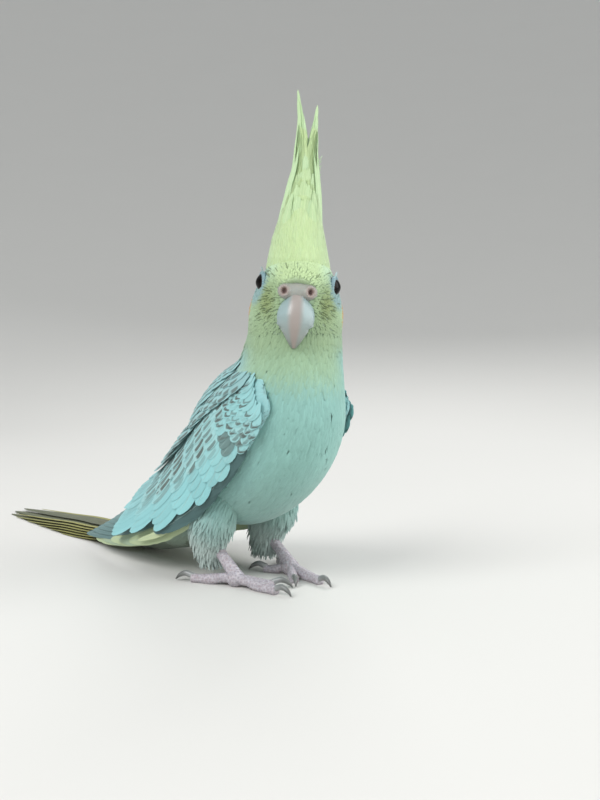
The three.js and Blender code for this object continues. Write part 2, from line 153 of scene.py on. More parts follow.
def reachOf(field, origin, direction, limit):
    # how far off the field's surface lies along each ray, found by halving
    near = np.zeros(direction.shape[:-1])
    far = near + limit
    for _ in range(24):
        middle = (near + far) / 2
        inside = field(origin + direction * middle[..., None]) < 0
        near, far = np.where(inside, middle, near), np.where(inside, far, middle)
    return near


def surfaceFrom(origin, direction, grow=0.0):
    return origin + direction * (reachOf(bodyField, origin, direction, 70) + grow)[..., None]


spine = curveThrough(body["spine"])


def spineRay(f, angle, lean=0.0):
    # a ray across the spine; angle 0 is towards the back, a quarter turn on is the bird's left
    ahead = tangentOf(spine, f)
    back = np.stack([np.zeros_like(f), -ahead[..., 2], ahead[..., 1]], -1)
    side = np.array([1.0, 0, 0])
    level = back * np.cos(angle)[..., None] + side * np.sin(angle)[..., None]
    return level * np.cos(lean)[..., None] + ahead * np.sin(lean)[..., None]


def bodyPoint(s, angle, grow=0.0):
    # s runs from -1 at the crown, over 0 to 1 along the spine, to 2 at the rump
    f = np.clip(s, 0, 1)
    lean = np.where(s < 0, s, np.where(s > 1, s - 1, 0)) * math.pi / 2
    return surfaceFrom(spine(f), spineRay(f, angle, lean), grow)


# the wing's sheet and the tail's place, as in the solids

wing = {
    "length": 130,
    "line": [(20.8, 4, 61), (23.6, 20, 51), (22.2, 38, 39.5), (19, 63, 26.5), (16.6, 92, 16), (15.5, 121, 7)],
    "tilt": (6, 48), "bend": (24, 60),
}
wingLine = curveThrough(wing["line"])


def wingPlace(side):
    def place(along, across, height):
        along, across, height = alike(along, across, height)
        f = np.clip(along / wing["length"], -0.05, 1)
        tangent = tangentOf(wingLine, np.clip(f, 0, 1))
        tilt = np.radians(lerp(*wing["tilt"], smooth(f, -0.1, 1)))
        bend = lerp(*wing["bend"], smooth(f, 0.3, 1))
        lean = np.stack([np.cos(tilt), np.zeros_like(tilt), np.sin(tilt)], -1)
        outward = unit(lean - tangent * np.sum(lean * tangent, -1, keepdims=True))
        upward = np.cross(outward, tangent)
        angle = across / bend
        point = wingLine(np.clip(f, 0, 1)) + tangent * np.where(f < 0, along, 0)[..., None]
        point = point + upward * (np.sin(angle) * (bend + height))[..., None]
        point = point + outward * (np.cos(angle) * (bend + height) - bend)[..., None]
        return point * np.array([side, 1, 1])
    return place


tail = {
    "length": 142, "root": (73, 8), "reach": 70, "layer": 0.8,
    # each pair's share of the length, offset, spread and width
    "pairs": [(1, 0.9, 0.6, 13), (0.955, 2.9, 1.9, 9.2), (0.85, 3.2, 2.6, 9.4),
              (0.75, 3.5, 3.3, 9.6), (0.66, 3.8, 4, 9.8), (0.58, 4.1, 4.7, 10)],
}


def tailPlace(pair, side):
    _, offset, spread, _ = tail["pairs"][pair]
    angle = math.radians(side * spread)
    back, height0 = tail["root"]

    def place(along, across, height):
        along, across, height = alike(along, across, height)
        sunk = np.maximum(0, 1 - along / tail["reach"]) ** 2
        below = sum(1 - smooth(along, p[0] * tail["length"] - 16, p[0] * tail["length"] + 8)
                    for p in tail["pairs"][pair + 1:]) + (1 if side > 0 and pair == 0 else 0)
        z = sunk * height0 + 0.25 + below * tail["layer"] + height
        x = side * offset + math.sin(angle) * along + math.cos(angle) * across
        y = back + math.cos(angle) * along - math.sin(angle) * across
        return np.stack([x, y, np.maximum(z, 0.03)], -1)
    return place


# the frame: the bird's own place moved so that the eye meets its solid

eyeLow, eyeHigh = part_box("eye_left")
eyeMiddle = (np.array(eyeLow) + np.array(eyeHigh)) / 2 * 1000
shift = eyeMiddle - onHead(*body["eyePlace"])


def toFrame(points):
    return (np.asarray(points, float) + shift) / 1000


# meshes

def placed(name, data):
    thing = bpy.data.objects.new(name, data)
    bpy.context.scene.collection.objects.link(thing)
    return thing


def meshPiece(name, points, faceSets, material, replaced=(), vertexData=None, uvMaps=None, sharp=None):
    mesh = bpy.data.meshes.new(name)
    flat = toFrame(points).reshape(-1, 3)
    mesh.vertices.add(len(flat))
    mesh.vertices.foreach_set("co", flat.astype(np.float32).ravel())
    sizes = np.concatenate([np.full(len(f), f.shape[1]) for f in faceSets])
    corners = np.concatenate([f.ravel() for f in faceSets]).astype(np.int32)
    mesh.loops.add(len(corners))
    mesh.loops.foreach_set("vertex_index", corners)
    mesh.polygons.add(len(sizes))
    mesh.polygons.foreach_set("loop_start", np.concatenate([[0], np.cumsum(sizes)[:-1]]).astype(np.int32))
    mesh.polygons.foreach_set("loop_total", sizes.astype(np.int32))
    mesh.polygons.foreach_set("use_smooth", np.ones(len(sizes), bool))
    for key, values in (uvMaps or {}).items():
        layer = mesh.uv_layers.new(name=key)
        layer.data.foreach_set("uv", values.reshape(-1, 2)[corners].astype(np.float32).ravel())
    for key, values in (vertexData or {}).items():
        values = values.reshape(len(flat), -1)
        if values.shape[1] == 1:
            layer = mesh.attributes.new(key, "FLOAT", "POINT")
            layer.data.foreach_set("value", values.astype(np.float32).ravel())
        else:
            layer = mesh.color_attributes.new(key, "FLOAT_COLOR", "POINT")
            full = np.concatenate([values, np.ones((len(flat), 1))], 1)
            layer.data.foreach_set("color", full.astype(np.float32).ravel())
    mesh.update(calc_edges=True)
    if sharp is not None:       # lines along which the two faces of a vane meet
        ends = np.empty(len(mesh.edges) * 2, np.int32)
        mesh.edges.foreach_get("vertices", ends)
        ends = ends.reshape(-1, 2)
        lines = sharp[ends[:, 0]], sharp[ends[:, 1]]
        creased = ((lines[0] == lines[1]) & (lines[0] > 0)) | ((lines[0] < 0) & (lines[1] > 0))
        creased |= (lines[1] < 0) & (lines[0] > 0)
        mesh.attributes.new("sharp_edge", "BOOLEAN", "EDGE").data.foreach_set("value", creased)
    piece = placed(name, mesh)
    mesh.materials.append(material)
    return settle(piece, replaced)


def settle(piece, replaced=()):
    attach(piece, "root")
    if replaced:
        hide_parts(*replaced)
    return piece


def tubeFaces(rings, around, count=1):
    # rings of points with a pole before the first and one after the last, for one shape or many alike
    i = np.arange(around)
    j = (i + 1) % around
    ring = np.arange(rings - 1)[:, None] * around + 1
    quads = np.stack([ring + i, ring + j, ring + around + j, ring + around + i], -1).reshape(-1, 4)
    lastRing = 1 + (rings - 1) * around
    tip = rings * around + 1
    fans = np.concatenate([np.stack([np.zeros_like(i), j + 1, i + 1], -1),
                           np.stack([np.full_like(i, tip), lastRing + i, lastRing + j], -1)])
    each = rings * around + 2
    starts = (np.arange(count) * each)[:, None, None]
    return [(quads + starts).reshape(-1, 4), (fans + starts).reshape(-1, 3)]


def closedTube(rings, first, last):
    # rings: count x rings x around x 3, poles: count x 3
    count = rings.shape[0]
    return np.concatenate([first[:, None], rings.reshape(count, -1, rings.shape[-1]), last[:, None]], 1)


def limbRings(points, widths, heights, across, sides=24, steps=40, shape=None):
    # a round-ended limb through a few points, with its own half width and half height at each
    path = curveThrough(points)
    f = np.linspace(0, 1, steps + 1)
    ahead = tangentOf(path, f)
    across = np.array(across, float)
    side = unit(across - ahead * (ahead @ across)[:, None])
    up = np.cross(side, ahead)
    knots = np.linspace(0, 1, len(widths))
    w, h = np.interp(f, knots, widths), np.interp(f, knots, heights)
    angle = np.linspace(0, 2 * math.pi, sides, endpoint=False)
    swell = np.ones((steps + 1, sides)) if shape is None else shape(f[:, None], angle[None, :])
    rings = (path(f)[:, None] + side[:, None] * (np.cos(angle) * w[:, None] * swell)[..., None]
             + up[:, None] * (np.sin(angle) * h[:, None] * swell)[..., None])
    return rings[None], (path(0) - ahead[0] * 0.35 * h[0])[None], (path(1) + ahead[-1] * 0.35 * h[-1])[None]


# colours and materials

def colour(hexCode):
    # an sRGB hex code as linear red, green and blue
    parts = np.array([int(hexCode[i:i + 2], 16) / 255 for i in (1, 3, 5)])
    return np.where(parts <= 0.04045, parts / 12.92, ((parts + 0.055) / 1.055) ** 2.4)


def addNode(material, kind, settings=None, links=None):
    # one node with its settings and the links into its sockets
    node = material.node_tree.nodes.new(kind)
    for key, value in (settings or {}).items():
        if isinstance(key, int) or key in node.inputs:
            node.inputs[key].default_value = value
        else:
            setattr(node, key, value)
    for key, source in (links or {}).items():
        material.node_tree.links.new(source, node.inputs[key])
    return node


sockets = {"roughness": "Roughness", "ior": "IOR", "coat": "Coat Weight", "coatRoughness": "Coat Roughness",
           "sheen": "Sheen Weight", "sheenRoughness": "Sheen Roughness", "scatter": "Subsurface Weight",
           "radius": "Subsurface Radius", "reach": "Subsurface Scale", "specular": "Specular IOR Level"}


def newMaterial(name, **finish):
    material = bpy.data.materials.new(name)
    material.use_nodes = True
    shader = material.node_tree.nodes["Principled BSDF"]
    for key, value in finish.items():
        shader.inputs[sockets[key]].default_value = value
    return material, shader


def maths(material, operation, *values, clamp=False):
    node = addNode(material, "ShaderNodeMath", {"operation": operation, "use_clamp": clamp})
    for socket, value in zip(node.inputs, values):
        if isinstance(value, (int, float)):
            socket.default_value = value
        else:
            material.node_tree.links.new(value, socket)
    return node.outputs[0]


def blended(material, factor, a, b, way="MIX"):
    node = addNode(material, "ShaderNodeMix", {"data_type": "RGBA", "blend_type": way})
    for index, value in ((0, factor), (6, a), (7, b)):
        if isinstance(value, (int, float)):
            node.inputs[index].default_value = value
        elif isinstance(value, np.ndarray):
            node.inputs[index].default_value = (*value, 1)
        else:
            material.node_tree.links.new(value, node.inputs[index])
    return node.outputs[2]


def stepped(material, value, low, high):
    # a soft step from nought at low to one at high
    return addNode(material, "ShaderNodeMapRange", {"interpolation_type": "SMOOTHSTEP", "From Min": low,
                   "From Max": high}, {"Value": value}).outputs[0]


def onVane(material):
    # the place across and along a feather, a bill or a claw, and the map that holds it
    vane = addNode(material, "ShaderNodeUVMap", {"uv_map": "vane"}).outputs[0]
    parts = addNode(material, "ShaderNodeSeparateXYZ", links={0: vane})
    return parts.outputs[0], parts.outputs[1], vane


def stored(material, name, output="Color"):
    return addNode(material, "ShaderNodeAttribute", {"attribute_name": name}).outputs[output]


def dress(material, shader, base, height, strength, depth, invert=False):
    # the last colour, and the relief that goes with it
    bump = addNode(material, "ShaderNodeBump", {"Strength": strength, "Distance": depth, "invert": invert},
                   {"Height": height})
    material.node_tree.links.new(base, shader.inputs["Base Color"])
    material.node_tree.links.new(bump.outputs[0], shader.inputs["Normal"])
    return material


def featherMaterial(name, finish):
    # keratin barbs, grown side by side: matt, with a fine slanting grain from the shaft
    material, shader = newMaterial(name, roughness=finish["roughness"], sheen=finish["sheen"],
                                   sheenRoughness=0.5, specular=0.3)
    calc, mix = partial(maths, material), partial(blended, material)
    u, along, _ = onVane(material)
    signed = calc("SUBTRACT", calc("MULTIPLY", u, 2.0), 1.0)
    across = calc("ABSOLUTE", signed)
    tint, length = stored(material, "tint"), stored(material, "vaneLength", "Fac")
    marks = addNode(material, "ShaderNodeSeparateColor", links={0: stored(material, "mark")}).outputs
    position = {"Vector": addNode(material, "ShaderNodeNewGeometry").outputs["Position"]}
    wander = addNode(material, "ShaderNodeTexNoise", {"Scale": finish["wander"], "Detail": 3.0},
                     position).outputs["Fac"]
    # barbs leave the shaft at a slant, a set distance apart in millimetres
    slant = calc("SUBTRACT", calc("MULTIPLY", along, length), calc("MULTIPLY", across, finish["slant"]))
    wave = calc("SINE", calc("MULTIPLY", slant, 2 * math.pi / finish["barbSpacing"]))
    grain = calc("MULTIPLY_ADD", wave, 0.5, 0.5)
    toned = mix(1.0, tint, colour(finish["grainColour"]), "MULTIPLY")
    grained = mix(calc("MULTIPLY", grain, finish["grain"]), tint, toned)
    # a dark streak beside the shaft, narrow at its root, and a dark band inside the tip's pale edge
    place = calc("ADD", along, calc("MULTIPLY_ADD", wander, 0.5, -0.25))

    def band(value, low, high, soft):
        return calc("SUBTRACT", stepped(material, value, low - soft, low + soft),
                    stepped(material, value, high - soft, high + soft))
    centre = calc("MULTIPLY", calc("SUBTRACT", marks[2], 0.5), 2.0)
    offset = calc("ADD", calc("ABSOLUTE", calc("SUBTRACT", signed, centre)),
                  calc("MULTIPLY", calc("SUBTRACT", 0.75, place), 0.4))
    streak = calc("MULTIPLY", band(place, *finish["streakAlong"], 0.05),
                  band(offset, -1.0, finish["streakAcross"], 0.08))
    edge = calc("ADD", place, calc("MULTIPLY", calc("POWER", across, 2.0), 0.28))
    scallop = band(edge, *finish["bandAlong"], 0.04)
    dark = calc("ADD", calc("MULTIPLY", streak, marks[1]), calc("MULTIPLY", scallop, marks[0]), clamp=True)
    marked = mix(dark, grained, colour(finish["dark"]))
    # the shaft shows as a fine line
    shaft = calc("LESS_THAN", across, finish["shaftWidth"])
    marked = mix(calc("MULTIPLY", shaft, finish["shaft"]), marked, colour(finish["shaftColour"]))
    mottled = mix(calc("MULTIPLY", wander, finish["mottle"]), marked,
                  mix(1.0, marked, colour(finish["grainColour"]), "MULTIPLY"))
    return dress(material, shader, mottled, grain, finish["bump"], 0.0001)


plumage = {
    "roughness": 0.8, "sheen": 0.2, "wander": 260.0, "slant": 2.2, "barbSpacing": 0.5, "grain": 0.35,
    "grainColour": "#d3dcd2", "streakAlong": (0.5, 0.9), "streakAcross": 0.33, "bandAlong": (0.76, 0.93),
    "dark": "#5b6a67", "shaft": 0.0, "shaftWidth": 0.06, "shaftColour": "#cfd6c8", "mottle": 0.18,
    "bump": 0.15,
}
# loose barbs: no gloss, a powdery edge
downFeather = featherMaterial("body feather, soft barbs", plumage)
# hooked barbs lie flat, so a faint satin shows
wingFeather = featherMaterial("wing feather, zipped barbs", {
    **plumage, "roughness": 0.62, "sheen": 0.12, "barbSpacing": 0.6, "slant": 3.2, "grain": 0.3, "shaft": 0.4,
    "shaftColour": "#9db3ae", "mottle": 0.12, "bump": 0.2})
# coarse barbs beside a dark shaft, worn in patches
tailFeather = featherMaterial("tail feather, zipped barbs", {
    **plumage, "roughness": 0.6, "sheen": 0.1, "barbSpacing": 0.8, "slant": 4.0, "grain": 0.55,
    "grainColour": "#8f9a86", "shaft": 0.8, "shaftWidth": 0.05, "shaftColour": "#6b6a4c", "mottle": 0.55,
    "bump": 0.4})
# thin plumes with a pale shaft
crestFeather = featherMaterial("crest feather, loose barbs", {
    **plumage, "roughness": 0.7, "sheen": 0.3, "barbSpacing": 0.6, "slant": 3.0, "grain": 0.35,
    "grainColour": "#dfe8bf", "shaft": 0.35, "shaftColour": "#eef4cf", "mottle": 0.2, "bump": 0.3})


def skinMaterial(name, finish):
    # skin: soft, with fine creases round small cells
    material, shader = newMaterial(name, roughness=finish["roughness"], scatter=finish["scatter"],
                                   radius=(0.0012, 0.0006, 0.0004), reach=1.0)
    calc, mix = partial(maths, material), partial(blended, material)
    position = {"Vector": addNode(material, "ShaderNodeNewGeometry").outputs["Position"]}
    creases = addNode(material, "ShaderNodeTexVoronoi", {"Scale": 1000 / finish["cell"], "feature": "F1"},
                      position).outputs["Distance"]
    clouds = addNode(material, "ShaderNodeTexNoise", {"Scale": 1000 / finish["cloud"], "Detail": 4.0},
                     position).outputs["Fac"]
    base = stored(material, "tint") if finish["colour"] is None else colour(finish["colour"])
    worn = mix(calc("MULTIPLY", clouds, finish["mottle"]), base, colour(finish["second"]))
    lit = mix(calc("MULTIPLY", creases, finish["creaseDepth"], clamp=True), worn, colour(finish["crease"]))
    return dress(material, shader, lit, creases, finish["bump"], 0.0002, True)


# dull, in the coat's own colours, so no gap shows bright
hide = skinMaterial("feathered hide", {
    "roughness": 0.8, "scatter": 0.0, "cell": 1.2, "cloud": 4, "colour": None, "second": "#9fb8a8",
    "mottle": 0.3, "creaseDepth": 0.2, "crease": "#8aa69a", "bump": 0.2})
# small dry scales with pale rims, lilac grey and rosy in places
footSkin = skinMaterial("scaled foot skin", {
    "roughness": 0.5, "scatter": 0.08, "cell": 0.75, "cloud": 3, "colour": "#8f8c96", "second": "#a58b90",
    "mottle": 0.6, "creaseDepth": 0.75, "crease": "#d3d0d6", "bump": 0.9})
# waxy and smooth, redder at the nostrils
cereSkin = skinMaterial("bare cere skin", {
    "roughness": 0.45, "scatter": 0.1, "cell": 0.5, "cloud": 2.5, "colour": None, "second": "#948683",
    "mottle": 0.4, "creaseDepth": 0.15, "crease": "#aab0aa", "bump": 0.25})
# thin, bluish and finely wrinkled
lidSkin = skinMaterial("bare eyelid skin", {
    "roughness": 0.5, "scatter": 0.1, "cell": 0.4, "cloud": 1.5, "colour": "#7f9ea6", "second": "#5f7d86",
    "mottle": 0.5, "creaseDepth": 0.3, "crease": "#a3bfc5", "bump": 0.5})


def setStops(ramp, stops):
    elements = ramp.color_ramp.elements
    for element, (place, code) in zip([elements[0], elements[1]], stops):
        element.position, element.color = place, (*colour(code), 1)
    for place, code in stops[2:]:
        elements.new(place).color = (*colour(code), 1)
    return ramp.outputs[0]


def hornMaterial(name, finish):
    # horn grown in layers from the root: satin, streaked along its length, a little see-through at the edges
    material, shader = newMaterial(name, roughness=finish["roughness"], ior=1.54, coat=finish["coat"],
                                   coatRoughness=0.25, scatter=0.06, radius=(0.0012, 0.001, 0.0009),
                                   reach=1.0)
    calc, mix = partial(maths, material), partial(blended, material)
    u, along, vane = onVane(material)
    stretch = addNode(material, "ShaderNodeMapping", {"Scale": (finish["streaks"], 1.5, 1.0)},
                      {"Vector": vane})
    streaks = addNode(material, "ShaderNodeTexNoise", {"Scale": 1.0, "Detail": 5.0},
                      {"Vector": stretch.outputs[0]}).outputs["Fac"]
    base = setStops(addNode(material, "ShaderNodeValToRGB", links={0: along}), finish["along"])
    streaked = mix(calc("MULTIPLY", streaks, finish["streakDepth"]), base, colour(finish["streak"]))
    if "ridge" in finish:       # the ridge is worn paler and pinker than the sides
        away = calc("ABSOLUTE", calc("SUBTRACT", u, 0.25))
        streaked = mix(calc("MULTIPLY", stepped(material, away, 0.09, 0.02), 0.8), streaked,
                       colour(finish["ridge"]))
    return dress(material, shader, streaked, streaks, 0.25, 0.0002)


# polished by use, bluish at the sides
billHorn = hornMaterial("bill horn", {
    "roughness": 0.36, "coat": 0.25, "streaks": 14.0, "streakDepth": 0.35, "streak": "#8d9c9a",
    "ridge": "#a3938c", "along": [(0.0, "#8fa6a6"), (1.0, "#7a7a72"), (0.45, "#94abad"), (0.8, "#8f9692")]})
# grey at the root and nearly black at the point
clawHorn = hornMaterial("claw horn", {
    "roughness": 0.35, "coat": 0.3, "streaks": 8.0, "streakDepth": 0.35, "streak": "#8d8f8c",
    "along": [(0.0, "#a3a7a8"), (1.0, "#3f403e"), (0.4, "#6d706f")]})
# a wet dark eye: black pupil, brown rim, one small highlight
eyeWet, eyeShader = newMaterial("wet eye", roughness=0.1, ior=1.36, coat=0.0, coatRoughness=0.03,
                                specular=0.22)
eyeColours = setStops(addNode(eyeWet, "ShaderNodeValToRGB", links={0: onVane(eyeWet)[1]}),
                      [(0.30, "#050404"), (0.36, "#2a1a12")])
eyeWet.node_tree.links.new(eyeColours, eyeShader.inputs["Base Color"])
print("materials made")


# markings of skin and coat

tints = {name: colour(code) for name, code in {
    # chin under the bill: its own yellow-green, darkened with painted shade from the bill above
    "chest": "#91bfb8", "belly": "#90b5af", "side": "#8cbab9", "back": "#9dc4c2", "throatWithBillShade": "#96ae8a",
    "face": "#a3bd98", "forehead": "#c0d7a4", "lore": "#8b9c6a", "loreDark": "#55633f", "eyeSkin": "#86a7ae",
    # thigh: pale feathers, darkened part way with painted shade
    "cheek": "#cc8a3c", "thigh": "#b3c2bf", "vent": "#a3b5a6", "crown": "#bfdcb8", "neckSide": "#8abfc6",
    "breastYellow": "#a4be94", "lash": "#b4cdd4", "cere": "#9a9f98", "nostrilRim": "#a5827a",
    # the nostrils' opening: dark red painted shade for the inside of the hole
    "nostril": "#4a1712"}.items()}


def marking(points):
    # the plumage's colour at a place on the body
    head = inHead(points)
    x, y, z = np.abs(head[..., 0]), head[..., 1], head[..., 2]
    high = points[..., 2]
    facing = (points @ np.array([-0.669, -0.743, 0]) + 4) / 16      # towards the turned face
    tint = np.broadcast_to(tints["chest"], points.shape).copy()

    def lay(name, amount):
        nonlocal tint
        tint = lerp(tint, tints[name], np.clip(amount, 0, 1)[..., None])
    lay("belly", 1 - smooth(high, 24, 52))
    lay("side", smooth(np.abs(points[..., 0]), 12, 22) * 0.7)
    lay("back", smooth(points[..., 1] + (high - 50) * 0.9, 22, 34))
    lay("vent", (1 - smooth(high, 10, 26)) * smooth(points[..., 1], 34, 56))
    lay("breastYellow", smooth(high, 66, 78) * smooth(facing, 0.1, 0.9) * 0.7)
    lay("neckSide", smooth(high, 74, 84) * (1 - smooth(high, 84, 94)) * (1 - smooth(facing, 0.2, 0.8)))
    # the chin under the bill: its own yellow-green, darkened with painted shade where the bill shades it
    lay("throatWithBillShade", smooth(high, 76, 88) * (1 - smooth(y, -4, 8)))
    lay("face", smooth(high, 86, 93) * (1 - smooth(y, 2, 12)))
    lay("crown", smooth(z, 4, 10))
    lay("forehead", smooth(z, 2, 8) * (1 - smooth(y, -10, -2)) * (1 - smooth(x, 5, 9)))
    lore = np.exp(-((x - 9) / 3.2) ** 2 - ((z + 0.5) / 5.5) ** 2) * (1 - smooth(y, -9, -4))
    lay("lore", lore)
    lay("eyeSkin", (1 - smooth(np.sqrt((x - 12) ** 2 + (y + 6.5) ** 2 + (z - 3.6) ** 2), 4.2, 7.4)) * 0.85)
    cheekDistance = np.sqrt(((y - 0.5) / 1.15) ** 2 + (z + 3.2) ** 2)
    lay("cheek", (1 - smooth(cheekDistance, 3.8, 5.6)) * smooth(x, 9.5, 12))
    return tint


# skin

skinShape = {"depth": 0.55, "headDepth": 0.3, "around": 120, "along": 200, "voxel": 0.6, "billDepth": 2.6,
             "thighWidths": [6, 7.2, 5.2, 2.6], "thighHeights": [9, 10, 6.5, 3]}


def coatDepth(points):
    return lerp(skinShape["depth"], skinShape["headDepth"], smooth(points[..., 2], 78, 88))


def billArea(points):
    # one in the middle of the bill's and the cere's roots, nought where the face's feathers begin
    x, y, z = np.moveaxis(inHead(points), -1, 0)
    cere = np.sqrt((x / 6.4) ** 2 + ((z - 3.2) / 3.9) ** 2)
    bill = np.sqrt((x / 6.0) ** 2 + ((z + 4.5) / 7.5) ** 2)
    return np.where(y < -7, 1 - smooth(np.minimum(cere, bill), 0.72, 1.0), 0)


def thighPath(side):
    middle = side * 12.5
    return [(side * 12, 26, 34), (side * 14, 30, 24), (middle + side, 33.5, 15), (middle, 33.5, 8.5)]


def bakePlace(points):
    # the unwrap of the skin: how far down the spine, and the angle round it
    f = np.linspace(0, 1, 80)
    line = spine(f)
    flat = points.reshape(-1, 3)
    s = np.empty(len(flat))
    angle = np.empty(len(flat))
    ahead = tangentOf(spine, f)
    for start in range(0, len(flat), 20000):
        part = flat[start:start + 20000]
        near = np.argmin(((part[:, None] - line[None]) ** 2).sum(-1), 1)
        away = part - line[near]
        back = np.stack([np.zeros(len(part)), -ahead[near][:, 2], ahead[near][:, 1]], -1)
        s[start:start + 20000] = f[near] + np.sum(away * ahead[near], -1) / 130
        angle[start:start + 20000] = np.arctan2(away[:, 0], np.sum(away * back, -1))
    uv = np.stack([0.02 + 0.96 * (angle / (2 * math.pi) + 0.5), 0.15 + 0.7 * s], -1)
    return np.clip(uv, 0.004, 0.996).reshape(*points.shape[:-1], 2)


def makeSkin():
    s = np.linspace(-0.96, 1.96, skinShape["along"])
    angle = np.linspace(0, 2 * math.pi, skinShape["around"], endpoint=False)
    rings = bodyPoint(*np.broadcast_arrays(s[:, None], angle[None]))
    sunk = coatDepth(rings) + skinShape["billDepth"] * billArea(rings)
    rings = rings - bodyNormal(rings) * sunk[..., None]
    poles = bodyPoint(np.array([-1.0, 2.0]), np.zeros(2), -skinShape["headDepth"])
    shapes = [(closedTube(rings[None], poles[:1], poles[1:]), tubeFaces(len(s), len(angle)))]
    for side in (-1, 1):
        tube = limbRings(thighPath(side), skinShape["thighWidths"], skinShape["thighHeights"], (1, 0, 0),
                         32, 24)
        shapes.append((closedTube(*tube), tubeFaces(25, 32)))
    points, quads, fans, start = [], [], [], 0
    for shape, (quad, fan) in shapes:
        points.append(shape.reshape(-1, 3))
        quads.append(quad + start)
        fans.append(fan + start)
        start += shape.shape[1]
    rough = bpy.data.meshes.new("rough")
    rough.from_pydata(np.concatenate(points).tolist(), [],
                      np.concatenate(quads).tolist() + np.concatenate(fans).tolist())
    holder = placed("rough", rough)
    remesh = holder.modifiers.new("one skin", "REMESH")
    remesh.mode, remesh.voxel_size, remesh.use_smooth_shade = "VOXEL", skinShape["voxel"], True
    relax = holder.modifiers.new("relax", "SMOOTH")
    relax.iterations, relax.factor = 3, 0.5
    made = holder.evaluated_get(bpy.context.evaluated_depsgraph_get()).to_mesh()
    spots = np.empty(len(made.vertices) * 3, np.float32)
    made.vertices.foreach_get("co", spots)
    spots = spots.reshape(-1, 3).astype(float)
    faces = [np.array([list(p.vertices) for p in made.polygons if len(p.vertices) == n]).reshape(-1, n)
             for n in (3, 4)]
    faces = [f for f in faces if len(f)]
    bpy.data.objects.remove(holder)
    skin = meshPiece("skin", spots, faces, hide,
                     ("head", "neck", "torso", "thigh_left", "thigh_right"),
                     {"tint": marking(spots) * 0.95}, {"OFBake": bakePlace(spots)})
    layer = skin.data.uv_layers["OFBake"].data
    for polygon in skin.data.polygons:      # a face that crosses the unwrap's seam stays on one side of it
        wide = [layer[i].uv.x for i in polygon.loop_indices]
        if max(wide) - min(wide) > 0.5:
            for i in polygon.loop_indices:
                layer[i].uv.x = max(layer[i].uv.x, 0.98)
    return skin


makeSkin()
print("skin made")


# feathers

def tuftPiece(name, rings, first, last, along, across, tint, mark, length, patch, material,
              replaced=()):
    # many closed vanes of one build: rings is count x rings x around x 3
    count, ringCount, around = rings.shape[:3]
    points = closedTube(rings, first, last)
    v = np.concatenate([[0.0], np.repeat(along, around), [1.0]])
    u = np.concatenate([[0.5], np.tile(across, ringCount), [0.5]])
    vane = np.broadcast_to(np.stack([u, v], -1), (count, len(v), 2))
    corner, size = patch
    bake = corner[:, None] + vane * np.array(size)
    each = len(v)
    data = {"tint": np.repeat(tint[:, None], each, 1), "mark": np.repeat(mark[:, None], each, 1),
            "vaneLength": np.repeat(length[:, None], each, 1)}
    faces = tubeFaces(ringCount, around, count)
    quads = faces[0].reshape(count, -1, 4)[0]
    triangles = np.concatenate([quads[:, :3], quads[:, [0, 2, 3]], faces[1].reshape(count, -1, 3)[0]])
    corners = points[:, triangles] - points[:, :1, None]
    volume = np.sum(corners[..., 0, :] * np.cross(corners[..., 1, :], corners[..., 2, :]), axis=(1, 2))
    for i, sides in enumerate((4, 3)):
        each = faces[i].reshape(count, -1, sides)
        faces[i] = np.where((volume < 0)[:, None, None], each[..., ::-1], each).reshape(-1, sides)
    columns = np.zeros(around, int)
    columns[np.argmin(across[:around // 2 + 1])], columns[np.argmax(across)] = 1, 2
    line = np.tile(np.concatenate([[-1], np.tile(columns, ringCount), [-1]]), count)
    return meshPiece(name, points, faces, material, replaced, data,
                     {"vane": np.ascontiguousarray(vane), "OFBake": bake}, line)


smallVane = {"along": np.array([0.22, 0.58, 0.86]), "width": np.array([0.72, 1.0, 0.62]),
             "across": np.array([0.0, 1.0, 0.5]), "patch": (0.003, 0.003)}


def smallTufts(name, rings, first, last, roots, length, tint, material, mark=None):
    # small feathers of three rings, each with a left edge, a right edge and a ridge
    mark = np.zeros((len(roots), 3)) if mark is None else mark
    return tuftPiece(name, rings, first, last, smallVane["along"], smallVane["across"], tint, mark, length,
                     (bakePlace(roots), smallVane["patch"]), material)


def smallMiddle(roots, ways, length):
    return roots[:, None] + ways[:, None] * (length[:, None] * smallVane["along"])[..., None]


def smallEdges(centre, aside, width, ridge):
    half = (width[:, None] * smallVane["width"] / 2)[..., None]
    return np.stack([centre - aside[:, None] * half, centre + aside[:, None] * half, ridge], 2)


def roundSteps(count, row):
    # even angles, each row half a step round from the last
    return (np.arange(count) + 0.5 * (row % 2)) / count * 2 * math.pi


def coverOf(roots, ways, length, width, lift, base):
    # small closed feathers that hug the body, each turned a few degrees at random
    outward = bodyNormal(roots)
    ways = unit(ways - outward * np.sum(ways * outward, -1, keepdims=True))
    turn = np.radians(rng.normal(0, 6.0, len(roots)))[:, None]
    aside = np.cross(outward, ways)
    ways, aside = (ways * np.cos(turn) + aside * np.sin(turn), aside * np.cos(turn) - ways * np.sin(turn))
    centre = smallMiddle(roots, ways, length)
    spots = smallEdges(centre, aside, width, centre)
    high = base[:, None] + lift[:, None] * smallVane["along"]
    edges = high - (0.05 * width)[:, None]
    heights = np.stack([edges, edges, high + (0.06 * width)[:, None]], 2)
    ends = np.stack([roots, roots + ways * length[:, None]], 1)
    endHeights = np.stack([base - 0.35, base + lift], 1)
    spots = spots + outward[:, None, None] * (heights - bodyField(spots))[..., None]
    ends = ends + outward[:, None] * (endHeights - bodyField(ends))[..., None]
    return spots, ends[:, 0], ends[:, 1]


def coverPiece(name, roots, ways, length, width, lift, base, tint, slot="body_feather"):
    rings, first, last = coverOf(roots, ways, length, width, lift, base)
    tint = tint * (1 + rng.normal(0, 0.035, (len(roots), 1)))
    return smallTufts(name, rings, first, last, roots, length, tint, downFeather)


